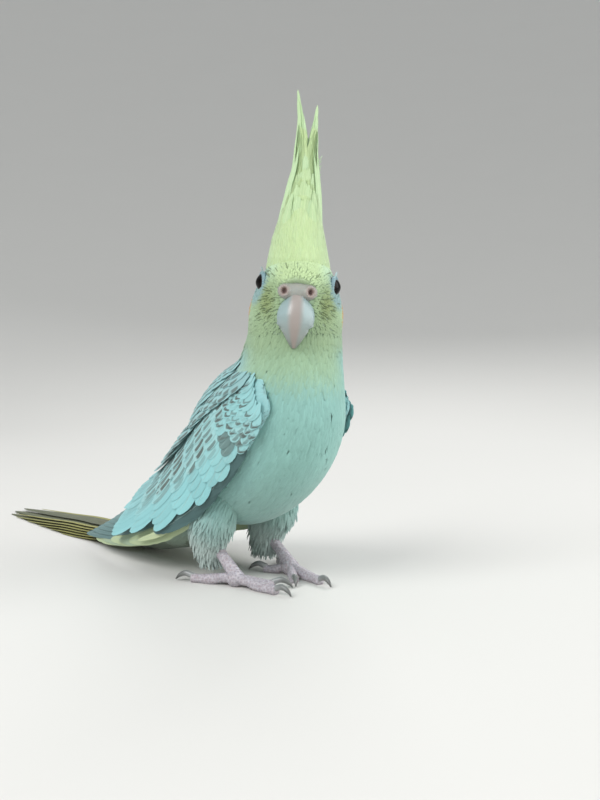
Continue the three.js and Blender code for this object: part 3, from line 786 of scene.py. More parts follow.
def underWing(points):
    # where a folded wing hides the body
    along, across = np.meshgrid(np.arange(-6, 84, 3.0), np.arange(-13, 22, 3.0), indexing="ij")
    sheet = wingPlace(1)(along.ravel(), across.ravel(), 0.0)
    flat = points.copy()
    flat[:, 0] = np.abs(flat[:, 0])
    hidden = np.zeros(len(points), bool)
    for start in range(0, len(points), 4000):
        away = ((flat[start:start + 4000, None] - sheet[None]) ** 2).sum(-1)
        hidden[start:start + 4000] = np.min(away, 1) < 5.0 ** 2
    inside = (flat[:, 0] > 8) & (flat[:, 1] > 12)
    return hidden & inside


def ringSpots(start, end, spacing):
    # rows of roots across the spine, each row set half a step round from the last
    f = np.linspace(0, 1, 400)
    total = np.sum(np.linalg.norm(np.diff(spine(f), axis=0), axis=1))
    s, angle = [], []
    place = start
    while place < end:
        loop = bodyPoint(np.full(24, place), roundSteps(24, 0))
        circumference = np.sum(np.linalg.norm(loop - np.roll(loop, 1, 0), axis=1))
        count = max(6, int(circumference / spacing))
        angle.append(roundSteps(count, len(s)))
        s.append(np.full(count, place))
        place += spacing / (total if 0 <= place <= 1 else 22.0)
    s, angle = np.concatenate(s), np.concatenate(angle)
    s = s + rng.normal(0, 0.25 * spacing / total, len(s))
    angle = angle + rng.normal(0, 0.012, len(s))
    return s, angle


coat = {     # sizes on the belly and the neck, by the bill and on the nape, least and most on the thigh
    "spacing": 0.88, "length": (5.4, 3.6), "width": (1.6, 1.2), "lift": 0.13,
    "mantleFrom": 0.36, "mantleHalf": 0.9,
    "headSpacing": 0.52, "headLength": (1.7, 3.6), "headWidth": (0.6, 1.15), "headLift": 0.09, "eyeRoom": 4.3,
    "hairShare": 0.16, "hairWidth": 0.32, "hairLength": 3.4, "hairLift": 0.25,
    "thighLength": (3.8, 5.6), "thighWidth": (0.75, 1.25), "thighRows": 40, "thighCounts": (56, 34),
}


def bodyCoat():
    s, angle = ringSpots(0.12, 1.85, coat["spacing"])
    roots = bodyPoint(s, angle, 0.0)
    ways = bodyPoint(s + 0.01, angle, 0.0) - roots
    keep = (roots[:, 2] < 86) & ~underWing(roots)
    # the mantle has feathers of its own
    half = coat["mantleHalf"]
    keep &= ~((angle < half) | (angle > 2 * math.pi - half)) | (s < coat["mantleFrom"])
    roots, ways = roots[keep], ways[keep]
    high = smooth(roots[:, 2], 60, 86)
    count = len(roots)
    length = lerp(*coat["length"], high) * rng.uniform(0.75, 1.25, count)
    width = lerp(*coat["width"], high) * rng.uniform(0.8, 1.2, count)
    lift = coat["lift"] * rng.uniform(0.6, 1.4, count)
    base = -coatDepth(roots) + 0.35 + rng.uniform(0, 0.05, count)
    tint = marking(roots)
    front = roots[:, 1] < np.median(roots[:, 1])
    for name, part in (("coat_front", front), ("coat_rear", ~front)):
        coverPiece(name, *(v[part] for v in (roots, ways, length, width, lift, base, tint)))
    print("body coat", count)


def headSpots(spacing):
    # rings round the bill, so that the face's feathers all lead away from it
    origin = onHead(0, 0.5, 1.5)
    ahead, side, up = headMatrix @ np.array([0, -1.0, 0]), headMatrix[:, 0], headMatrix[:, 2]
    radius = 13.5
    polar, angle = [], []
    for row, theta in enumerate(np.arange(0.30, 2.75, spacing / radius)):
        count = max(8, int(2 * math.pi * radius * math.sin(theta) / spacing))
        angle.append(roundSteps(count, row))
        polar.append(np.full(count, theta))
    polar = np.concatenate(polar) + rng.normal(0, 0.012, sum(map(len, polar)))
    angle = np.concatenate(angle) + rng.normal(0, 0.02, len(polar))

    def at(theta):
        ray = (ahead * np.cos(theta)[:, None]
               + (side * np.cos(angle)[:, None] + up * np.sin(angle)[:, None]) * np.sin(theta)[:, None])
        return surfaceFrom(origin, ray)
    roots = at(polar)
    return roots, at(polar + 0.03) - roots, polar


def headCoat():
    roots, ways, polar = headSpots(coat["headSpacing"])
    local = inHead(roots)
    x, y, z = np.abs(local[:, 0]), local[:, 1], local[:, 2]
    keep = roots[:, 2] > 82
    eyeDistance = np.sqrt((x - body["eyePlace"][0]) ** 2 + (y + 5.9) ** 2 + (z - 5.0) ** 2)
    keep &= eyeDistance > coat["eyeRoom"]
    keep &= billArea(roots) < 0.45
    roots, ways, polar, x, y, z = (v[keep] for v in (roots, ways, polar, x, y, z))
    eyeDistance = eyeDistance[keep]
    count = len(roots)
    size = smooth(polar, 0.35, 1.7)
    length = lerp(*coat["headLength"], size) * rng.uniform(0.8, 1.25, count)
    width = lerp(*coat["headWidth"], size) * rng.uniform(0.8, 1.2, count)
    near = 1 - smooth(eyeDistance, 4.2, 7.5)
    length, width = length * (1 - 0.45 * near), width * (1 - 0.35 * near)
    tint = marking(roots)
    # dark hair-like feathers fan out from the lores
    lore = (np.exp(-((x - 9.2) / 2.6) ** 2 - ((z + 1.2) / 3.6) ** 2)
            + np.exp(-((x - 8.0) / 2.0) ** 2 - ((z - 8.2) / 2.0) ** 2))
    hair = rng.random(count) < lore * coat["hairShare"] * (y < -3)
    tint = np.where(hair[:, None], lerp(tint, tints["loreDark"], 0.7), tint)
    lift = coat["headLift"] * rng.uniform(0.6, 1.4, count) * (0.5 + 0.5 * size)
    width, length, lift = (np.where(hair, coat[key], values) for key, values in
                           (("hairWidth", width), ("hairLength", length), ("hairLift", lift)))
    base = -coatDepth(roots) + 0.18 + rng.uniform(0, 0.03, count)
    coverPiece("coat_head", roots, ways, length, width, lift, base, tint, "face_feather")
    print("head coat", count)


bodyCoat()
headCoat()


def thighCoat():
    for side, name in ((-1, "coat_thigh_right"), (1, "coat_thigh_left")):
        path = curveThrough(thighPath(side))
        f, angle = [], []
        for row, place in enumerate(np.linspace(0.06, 0.97, coat["thighRows"])):
            count = int(lerp(*coat["thighCounts"], place))
            angle.append(roundSteps(count, row))
            f.append(np.full(count, place))
        f, angle = np.concatenate(f), np.concatenate(angle)
        f = np.clip(f + rng.normal(0, 0.01, len(f)), 0, 1)
        knots = np.linspace(0, 1, 4)
        w, h = np.interp(f, knots, [6.2, 7.2, 5.2, 2.6]), np.interp(f, knots, [9.2, 10, 6.5, 3.0])
        ahead = tangentOf(path, f)
        across = unit(np.array([1.0, 0, 0]) - ahead * ahead[:, :1])
        up = np.cross(across, ahead)
        outward = across * np.cos(angle)[:, None] + up * np.sin(angle)[:, None]
        roots = path(f) + across * (np.cos(angle) * w)[:, None] + up * (np.sin(angle) * h)[:, None]
        keep = bodyField(roots) > -1.0
        f, roots, outward, ahead = f[keep], roots[keep], outward[keep], ahead[keep]
        count = len(roots)
        low = smooth(f, 0.6, 1.0)
        length = rng.uniform(*coat["thighLength"], count) * (1 + 0.25 * low)
        width = rng.uniform(*coat["thighWidth"], count) * (1 - 0.3 * low)
        flare = (rng.uniform(0.0, 0.10, count) + rng.uniform(0, 0.22, count) * low)[:, None]
        way = unit(ahead + outward * flare + rng.normal(0, 0.07, (count, 3)))
        aside = unit(np.cross(outward, way))
        centre = smallMiddle(roots, way, length)
        ridge = centre + outward[:, None] * (0.1 + 0.2 * np.sin(math.pi * smallVane["along"]))[None, :, None]
        rings = smallEdges(centre, aside, width, ridge)
        rings[..., 2] = np.maximum(rings[..., 2], 4.0)
        last = roots + way * length[:, None]
        last[:, 2] = np.maximum(last[:, 2], 3.8)
        # the thighs' pale colour, darkened part way with painted shade
        tint = lerp(marking(roots), tints["thigh"], smooth(f, 0.1, 0.7)[:, None])
        tint = tint * (1 + rng.normal(0, 0.03, (count, 1)))
        smallTufts(name, rings, roots - outward * 0.4, last, roots, length, tint, downFeather)


thighCoat()
print("thigh coat made")

vaneAcross = np.array([-1.0, -0.55, -0.14, 0.0, 0.14, 0.55, 1.0])


def layVanes(specs, rings=14, thickness=0.16, cup=0.05, ridge=0.1, frayed=0.0):
    # closed vanes on a place(along, across, height); specs share one layout and may have places of their own
    allRings, firsts, lasts = [], [], []
    f = 1 - (1 - np.arange(rings) / rings) ** 1.25
    for spec in specs:
        root, tip = np.array(spec["root"], float), np.array(spec["tip"], float)
        way = tip - root
        length = np.linalg.norm(way)
        way = way / length
        side = np.array([-way[1], way[0]])
        bow = spec.get("bow", 0) * np.sin(math.pi * f)
        blunt = spec.get("blunt", 3)
        half = spec["width"] / 2 * (0.4 + 0.6 * smooth(f, 0, 0.35)) * np.sqrt(1 - f ** blunt)
        left = half * (1 - spec.get("slim", 0.0))
        notch = 1 - frayed * rng.random((2, rings)) ** 3 * smooth(f, 0.3, 0.6)
        offset = vaneAcross * np.where(vaneAcross < 0, (left * notch[0])[:, None], (half * notch[1])[:, None])
        middle = root + way * (length * f)[:, None] + side * bow[:, None]
        rise = lerp(spec["rise"][0], spec["rise"][1], f)
        high = rise[:, None] + spec.get("tilt", 0) * offset - cup * offset ** 2
        thick = thickness / 2 * (1 - vaneAcross ** 2) + 0.01
        lineAcross = np.maximum(0, 1 - np.abs(vaneAcross) * 5) * ridge * (1 - 0.7 * f[:, None])
        spot = middle[:, :1] + side[0] * offset, middle[:, 1:] + side[1] * offset
        upper, lower = spec["place"](*spot, high + thick + lineAcross), spec["place"](*spot, high - thick)
        allRings.append(np.concatenate([upper, lower[:, -2:0:-1]], 1))
        firsts.append(spec["place"](root[0], root[1], spec["rise"][0]))
        lasts.append(spec["place"](tip[0], tip[1], spec["rise"][1]))
    across = np.concatenate([vaneAcross, vaneAcross[-2:0:-1]]) / 2 + 0.5
    lengths = np.array([np.hypot(*(np.subtract(s["tip"], s["root"]))) for s in specs])
    return np.array(allRings), np.array(firsts), np.array(lasts), f, across, lengths


def vanePiece(name, specs, material, slot, replaced=(), **layout):
    rings, first, last, along, across, lengths = layVanes(specs, **layout)
    columns = int(math.ceil(math.sqrt(len(specs))))
    cell = 1 / columns
    index = np.arange(len(specs))
    corner = np.stack([index % columns, index // columns], -1) * cell + 0.05 * cell
    tint = np.array([s["tint"] for s in specs]) * (1 + rng.normal(0, 0.03, (len(specs), 1)))
    mark = np.array([s.get("mark", (0, 0, 0)) for s in specs], float)
    return tuftPiece(name, rings, first, last, along, across, tint, mark, lengths,
                     (corner, (0.9 * cell, 0.9 * cell)), material, replaced)


wingTints = {name: colour(code) for name, code in {
    "shoulder": "#97c9cc", "pearl": "#97cdd0", "panel": "#93ced3", "band": "#4c6a6b", "cream": "#c3cfa6",
    "primary": "#6c8c8d", "drop": "#b5d9da", "wrist": "#5a6763", "primaryPale": "#b7c69f",
    "scapular": "#98c6c9"}.items()}
wingShape = {       # the dressed wing's edges across the sheet, at places along it
    "along": [-10, -8, 0, 8, 16, 24, 32, 40, 56, 74, 95],
    "low": [-1, -5, -9, -12, -13.2, -15.5, -17, -18, -18.5, -18, -14],
    "high": [6, 12, 19, 22, 23.5, 24, 24, 23.5, 22.5, 19, 9],
    # rows: tip at the lower edge, tip at the upper edge, length, count, width
    "rows": [(97, 88, 30, 14, 6.6), (84, 77, 27, 14, 6.4), (71, 66, 25, 15, 6.0), (58, 54, 22, 15, 5.6),
             (46, 43, 19, 15, 5.2), (36, 34, 16, 15, 4.9), (27, 25.5, 13.5, 15, 4.6),
             (18.5, 17.5, 11, 16, 4.3), (11.5, 10.5, 9.5, 16, 4.0), (7, 6, 8.5, 16, 3.8),
             (3, 2, 8, 15, 3.5), (-0.5, -1, 7, 13, 3.2)],
}


def wingEdge(name, along):
    return np.interp(along, wingShape["along"], wingShape[name])


def pearled(along, across):
    # how much of a dark drop the feather that ends here has
    zone = smooth(across, lerp(4, -9, smooth(along, 8, 30)), lerp(9, -4, smooth(along, 8, 30)))
    wrist = np.exp(-((along - 9) / 9) ** 2 - ((across + 6.5) / 3.5) ** 2)
    return np.maximum(zone * (1 - 0.8 * smooth(along, 74, 88)), wrist)


arm = {      # the flesh under the coverts, and the small feathers round its front
    "from": -9.5, "to": 68.5, "middle": -2.0, "deep": 2.4, "rows": (-9.4, 9, 1.25), "around": 64,
    "length": (3.6, 4.8), "width": (1.8, 2.5),
}


def makeWing(side, name):
    place = wingPlace(side)
    low, high = partial(wingEdge, "low"), partial(wingEdge, "high")

    def onArm(along, angle, grow):
        g = np.clip((along - arm["from"]) / 78, 0.004, 0.996)
        swell = np.cbrt(1 - np.abs(2 * g - 1) ** 3)
        lift = np.sign(np.sin(angle)) * np.abs(np.sin(angle)) ** 0.6
        centre, half = (low(along) + high(along)) / 2, (high(along) - low(along)) / 2 - 0.6
        return place(along, centre + np.cos(angle) * (half + grow),
                     arm["middle"] + lift * (arm["deep"] * swell + grow))
    steps = lerp(arm["from"], arm["to"], np.linspace(0.02, 0.98, 40))
    rings = onArm(steps[:, None], np.linspace(0, 2 * math.pi, 36, endpoint=False)[None], 0.0)
    ends = place(np.array([-9.7, 69]), np.array([3, 0]), arm["middle"])
    armPoints = closedTube(rings[None], ends[:1], ends[1:])
    meshPiece(f"wing_{name}_arm", armPoints, tubeFaces(40, 36), hide, (),
              {"tint": np.broadcast_to(wingTints["shoulder"] * 0.9, (armPoints.shape[1], 3))},
              {"OFBake": bakePlace(armPoints[0])})

    flight = []
    for g in np.linspace(0, 1, 8):      # primaries, the longest at the bottom
        flight.append({"place": place, "root": (lerp(47, 53, g), lerp(-8, 0, g)),
                       "tip": (lerp(wing["length"], 99, g ** 0.9), lerp(-1, 0.5, g)),
                       "rise": (lerp(-3.4, -0.8, g),) * 2, "width": 10.5, "bow": lerp(-5, -2.5, g),
                       "blunt": 2.3, "slim": 0.35, "tilt": -0.02,
                       "tint": wingTints["primary"] * lerp(0.85, 1.15, g)})
    for g in np.linspace(0, 1, 5):      # pale ones show below them
        flight.append({"place": place, "root": (lerp(44, 40, g), lerp(-11, -13.5, g)),
                       "tip": (lerp(119, 90, g), lerp(-5.5, -14, g)), "rise": (lerp(-3.9, -2.6, g),) * 2,
                       "width": 9, "bow": lerp(-5, -3, g), "blunt": 2.6, "tilt": -0.02,
                       "tint": lerp(wingTints["primaryPale"], wingTints["primary"], 0.35 * (g % 0.5 > 0.2))})
    for i, start in enumerate((0, 8, 17, 27, 38)):      # the dark band along the lower edge
        end = start + 34
        flight.append({"place": place, "root": (start, low(start) + 2.8), "tip": (end, low(end) + 2.2),
                       "rise": (0.5 - 0.1 * i, 0.75 - 0.1 * i), "width": 7.0, "bow": -1.0, "blunt": 3.2,
                       "tilt": 0.02,
                       "tint": lerp(wingTints["band"], wingTints["drop"], 0.8 * (side > 0 and i < 2))})
    for start, end in ((6, 44), (24, 64), (42, 82)):        # and the thin pale line below it
        flight.append({"place": place, "root": (start, low(start) + 1.2), "tip": (end, low(end) + 0.4),
                       "rise": (-0.7, -0.5), "width": 3.4, "bow": -0.8, "blunt": 3.2,
                       "tint": wingTints["cream"]})
    vanePiece(f"wing_{name}_flight", flight, wingFeather, "wing_feather", (f"wing_{name}",),
              rings=26, frayed=0.1, thickness=0.12, cup=0.008, ridge=0.1)

    rows = []
    for r, (tipLow, tipHigh, length, count, width) in enumerate(wingShape["rows"]):
        for step in range(count):
            g = min(1, (step + 0.5 * (r % 2)) / (count - 1))
            along = lerp(tipLow, tipHigh, g) + rng.normal(0, 0.3 + 0.03 * length)
            across = lerp(low(along) + lerp(1.0, 2.4, smooth(along, -4, 22)), min(20.5, high(along) - 1.5), g)
            amount = pearled(along, across) * rng.uniform(0.55, 1.15)
            plain = smooth(along, 20, 45) * (1 - amount)
            tint = lerp(wingTints["pearl"], wingTints["panel"], plain)
            tint = lerp(tint, wingTints["drop"], 0.4 * min(1, amount))
            wrist = math.exp(-((along - 15) / 6) ** 2 - ((across + 6) / 3.6) ** 2)
            if rng.random() < 0.7 * wrist:      # dark feathers at the wrist
                tint = lerp(tint, wingTints["wrist"], 0.7)
            edge = np.clip(1.1 * smooth(26 - along, 0, 10) * rng.uniform(-0.2, 1.0), 0, 1)
            rows.append({"place": place, "tip": (along, across), "rise": (0.45, 1.75 - 0.05 * r),
                         "root": (along - 0.93 * length, min(across + 0.37 * length, high(along) + 1.5)),
                         "width": width, "blunt": 4.5, "bow": -0.6 - 0.1 * length / 10, "tilt": -0.06,
                         "tint": tint, "mark": (edge, min(amount, 1), rng.uniform(0.14, 0.38))})
    vanePiece(f"wing_{name}_coverts", rows, wingFeather, "wing_feather", rings=14, frayed=0.06,
              thickness=0.1, cup=0.008, ridge=0.05)

    # small feathers wrap the front and the edges of the arm
    f, angle = [], []
    for row, along in enumerate(np.arange(*arm["rows"])):
        f.append(np.full(arm["around"], along))
        angle.append(roundSteps(arm["around"], row))
    f, angle = np.concatenate(f), np.concatenate(angle)
    f = f + rng.normal(0, 0.25, len(f))
    roots = onArm(f, angle, 0.0)
    outward = unit(onArm(f, angle, 1.0) - roots)
    keep = bodyField(roots) > 0.2
    keep &= (f < -3) | (np.sin(angle) < 0.7)
    f, angle, roots, outward = f[keep], angle[keep], roots[keep], outward[keep]
    count = len(roots)
    length, width = rng.uniform(*arm["length"], count), rng.uniform(*arm["width"], count)
    along = smallVane["along"]
    aside = unit(np.cross(outward, unit(onArm(f + 3, angle, 0.0) - roots)))
    centre = onArm(f[:, None] + length[:, None] * along, angle[:, None], 0.2 + 0.3 * along)
    rings = smallEdges(centre, aside, width, centre + outward[:, None] * 0.14)
    last = onArm(f + length, angle, 0.5)
    bands = np.clip(rng.uniform(-0.3, 1.0, count), 0, 1)
    scalloped = np.stack([bands, np.zeros(count), np.full(count, 0.5)], -1)
    tint = np.broadcast_to(wingTints["shoulder"], (count, 3)) * (1 + rng.normal(0, 0.03, (count, 1)))
    smallTufts(f"wing_{name}_shoulder", rings, roots, last, roots, length, tint, wingFeather,
               mark=scalloped)


makeWing(-1, "right")
makeWing(1, "left")
print("wings made")


# mantle and scapulars: pearled feathers on the back, lying over the wings' upper edges

def bodySheet(s0, angle0):
    # a place(along, across, height) on the body's surface that starts at one root
    start = bodyPoint(np.array([s0]), np.array([angle0]))[0]
    nextSpot = bodyPoint(np.array([s0 + 0.02]), np.array([angle0]))[0]
    outward = bodyNormal(start[None])[0]
    way = unit(nextSpot - start)
    way = unit(way - outward * (way @ outward))
    aside = np.cross(outward, way)

    def place(along, across, height):
        along, across, height = alike(along, across, height)
        spots = start + way * along[..., None] - aside * across[..., None]
        return spots + outward * (height - bodyField(spots))[..., None]
    return place


backRows = {"mantle": (0.27, 1.25, 0.028), "mantleTurn": 0.14, "mantleWidth": 4.6, "mantleLengths": (8, 13),
            "scapulars": 9, "across": (10.5, 24.0), "along": (-6, 54), "lengths": (12, 22), "width": 5.4}


def mantle():
    specs = []
    for row, s0 in enumerate(np.arange(*backRows["mantle"])):
        width = lerp(1.0, 0.75, smooth(s0, 0.8, 1.2))
        reach = 0.95 * (1 - 0.35 * smooth(s0, 0.7, 1.2))
        for angle0 in np.arange(-reach, reach + 0.01, backRows["mantleTurn"]) + (0.07 if row % 2 else 0):
            length = lerp(*backRows["mantleLengths"], smooth(s0, 0.35, 0.8)) * rng.uniform(0.9, 1.1)
            pearl = smooth(s0, 0.3, 0.42)
            base = marking(bodyPoint(np.array([s0]), np.array([angle0])))[0]
            specs.append({"place": bodySheet(s0, angle0), "root": (0, 0), "tip": (length, rng.normal(0, 0.5)),
                          "rise": (-0.5, 0.7), "width": backRows["mantleWidth"] * width, "blunt": 4.5,
                          "tilt": 0.02,
                          "tint": lerp(base, wingTints["scapular"], pearl),
                          "mark": (0, pearl * rng.uniform(0.7, 1.0), 0.5)})
    vanePiece("mantle", specs, wingFeather, "wing_feather", rings=9, frayed=0.08, thickness=0.1, cup=0.02,
              ridge=0.05)
    print("mantle", len(specs))


def scapulars():
    specs = []
    for side in (-1, 1):
        place = wingPlace(side)
        for row in range(backRows["scapulars"]):
            across = lerp(*backRows["across"], row / 8)
            for column in range(9):
                root = lerp(*backRows["along"], (column + 0.5 * (row % 2)) / 8.5)
                length = lerp(*backRows["lengths"], smooth(root, 0, 50)) * rng.uniform(0.9, 1.1)
                puff = 1.8 * math.exp(-((root + length - 56) / 22) ** 2)
                specs.append({"place": place, "root": (root, across),
                              "tip": (root + length, across - 0.8 - 0.06 * length + rng.normal(0, 0.5)),
                              "rise": (1.1 + 0.05 * row, 2.3 + puff), "width": backRows["width"],
                              "tilt": -0.06, "blunt": 4.5, "tint": wingTints["scapular"] * rng.uniform(0.96, 1.06),
                              "mark": (0, rng.uniform(0.8, 1.0), 0.22)})
    vanePiece("scapulars", specs, wingFeather, "wing_feather", rings=12, frayed=0.08, thickness=0.1,
              cup=0.012, ridge=0.05)


mantle()
scapulars()
print("back made")


# tail

tailTints = {name: colour(code) for name, code in {
    "olive": "#7a7b45", "edge": "#b9b46a", "grey": "#5d6656", "covert": "#a3b7ac",
    "under": "#8b9a8a"}.items()}
tailCoverts = [(-12, 27, 9, 8), (-14, 19, 8, 8.5), (-16, 12, 8, 9)]       # root, tip, count, half the spread


def makeTail():
    specs = []
    for pair, (share, _, _, width) in enumerate(tail["pairs"]):
        for side in (-1, 1):
            place = tailPlace(pair, side)
            specs.append({"place": place, "root": (-4, 0), "tip": (share * tail["length"], 0), "rise": (0, 0),
                          "width": width, "blunt": 2 if pair < 2 else 3,
                          "tint": lerp(tailTints["grey"], tailTints["olive"], min(1, 0.35 + 0.2 * pair))})
            # a yellow outer edge on each feather
            specs.append({"place": place, "root": (6, side * (width / 2 - 1.6)),
                          "tip": (share * tail["length"] - 10, side * (width / 2 - 1.9)),
                          "rise": (0.06, 0.05), "width": 2.4, "blunt": 4, "tint": tailTints["edge"]})
    vanePiece("tail_feathers", specs, tailFeather, "tail_feather", ("tail",), rings=34, frayed=0.1, cup=0.0,
              thickness=0.2)
    back, height = tail["root"]
    coverts = []
    for above in (True, False):
        drop, lift, outward = (0.3, 8.6, 1) if above else (0.16, -3.6, -1)
        tint, mark = tailTints["covert" if above else "under"], (0, 0.3 if above else 0, 0)
        for row, (start, reach, count, spread) in enumerate(tailCoverts):
            for i in range(count):
                across = (i / (count - 1) - 0.5) * 2
                layer = 0.3 * row + 0.35 * (1 - abs(across)) * 3

                def place(along, offset, high, drop=drop, lift=lift, outward=outward, layer=layer):
                    along, offset, high = alike(along, offset, high)
                    z = height - drop * along + lift + outward * (high + layer - offset ** 2 * 0.045)
                    return np.stack([offset, back + along, np.maximum(z, 0.6)], -1)
                coverts.append({"place": place, "root": (start, across * spread * 0.55),
                                "tip": (reach, across * spread * 0.9), "rise": (-0.8, 0.4), "width": 5.2,
                                "blunt": 3.5, "tint": tint, "mark": mark})
    vanePiece("tail_coverts", coverts, downFeather, "tail_feather", rings=12, frayed=0.2)


makeTail()
print("tail made")


# crest

crestShape = {
    # height over the head's middle, right and left edge of the fan, its front and its rear
    "levels": [(4, -11.6, 11.2, -13.6, 11), (9, -11.3, 10.7, -13.0, 11.8), (13, -10.9, 10.0, -12.2, 11.3),
               (20, -9.9, 8.2, -10.4, 10.5),
               (27, -8.0, 6.4, -8.6, 9.5), (33.7, -6.3, 5.3, -6.8, 8.5), (43.7, -4.5, 4.0, -4.0, 7.6),
               (50, -3.9, 3.2, -2.0, 7), (60, -3.4, 2.8, 1, 6.5), (72, -3.2, 2.6, 4, 7)],
    "plumes": {-1: ([42, 50, 54, 60, 70], [-2.1, -2.3, -2.4, -3.2, -4.9], [2.0, 1.7, 1.4, 0.8, 0.3]),
               1: ([42, 50, 54, 60, 65], [1.8, 1.75, 1.9, 2.15, 2.35], [1.7, 1.4, 1.1, 0.55, 0.25])},
    "tops": [13, 18, 23, 28, 33, 38, 43, 47.5, 50, 46, 41, 36, 31, 26, 22, 18, 14],
    "plumeTops": ((-1, (69.5, 66, 62, 58, 55, 52)), (1, (64.8, 61, 58, 55, 52, 49))),
    "coatRows": (5.4, 50, 0.85), "coatSpacing": 0.8, "coatLength": (4.0, 8.5), "coatWidth": (1.0, 1.5),
}


def crestEdges(high):
    levels = np.array(crestShape["levels"])
    return (np.interp(high, levels[:, 0], levels[:, k]) for k in range(1, 5))


def crestSpot(u, v, z, plume=0):
    right, left, front, rear = crestEdges(z)
    x = (right + left) / 2 + u * (left - right) / 2
    if plume:
        heights, middle, half = crestShape["plumes"][plume]
        drawn = np.interp(z, heights, middle) + (u - 0.45 * plume) * 1.6 * np.interp(z, heights, half)
        x = lerp(x, drawn, smooth(z, 36, 52))
    return np.stack([x, front + v * (rear - front), z], -1)


def crestFeatherSpec(u, v, top, width, plume=0, tone=0.5):
    base = 24.0 - 2.0 * u ** 2
    heights = np.linspace(base, top, 24)
    line = crestSpot(u, v, heights, plume)
    steps = np.concatenate([[0], np.cumsum(np.linalg.norm(np.diff(line, axis=0), axis=1))])
    total = steps[-1]
    outside = unit(np.array([1.1 * u * abs(u), -1.0 if v < 0.6 else 1.0, 0.1]))

    def spot(g):
        return np.stack([np.interp(g * total, steps, line[:, k]) for k in range(3)], -1)

    def place(along, offset, height):
        along, offset, height = alike(along, offset, height)
        g = np.clip(along / total, 0, 1)
        way = unit(spot(np.minimum(g + 0.03, 1)) - spot(np.maximum(g - 0.03, 0)))
        aside = unit(np.cross(way, outside))
        face = np.cross(aside, way)
        curl = -0.02 * total * smooth(g, 0.6, 1.0)
        point = spot(g) + aside * offset[..., None] + face * (height + curl - 0.05 * offset ** 2)[..., None]
        return onHead(*np.moveaxis(point, -1, 0))
    return {"place": place, "root": (0, 0), "tip": (total, 0), "rise": (0, 0.25), "width": width,
            "blunt": 1.8, "tint": lerp(tints["crown"], tints["forehead"], tone)}


def crestCore(high, angle, grow=0.0, plume=None):
    # the surface that the small crest feathers lie on: it leans back in front and narrows to a thin upper
    # edge, where a feather that belongs to a plume is drawn towards it
    right, left, front, rear = crestEdges(high)
    share = np.clip((high - 13) / 37, 0, 1) * 0.5
    foremost, hindmost = lerp(front, rear, share), lerp(front, rear, 1 - share)
    x = (left + right) / 2 + np.sin(angle) * ((left - right) / 2 - 0.5 + grow)
    y = (foremost + hindmost) / 2 - np.cos(angle) * (np.maximum((hindmost - foremost) / 2 - 0.5, 0.3) + grow)
    if plume is not None:
        near, far = (np.stack([np.interp(high, crestShape["plumes"][k][0], crestShape["plumes"][k][part])
                               for k in (-1, 1)]) for part in (1, 2))
        middle, half = np.where(plume < 0, near[0], near[1]), np.where(plume < 0, far[0], far[1])
        drawn = middle + (np.sin(angle) - 0.5 * plume) * 1.8 * half
        x = lerp(x, drawn, smooth(high, 36, 51))
    return onHead(x, y, high + 0 * x)


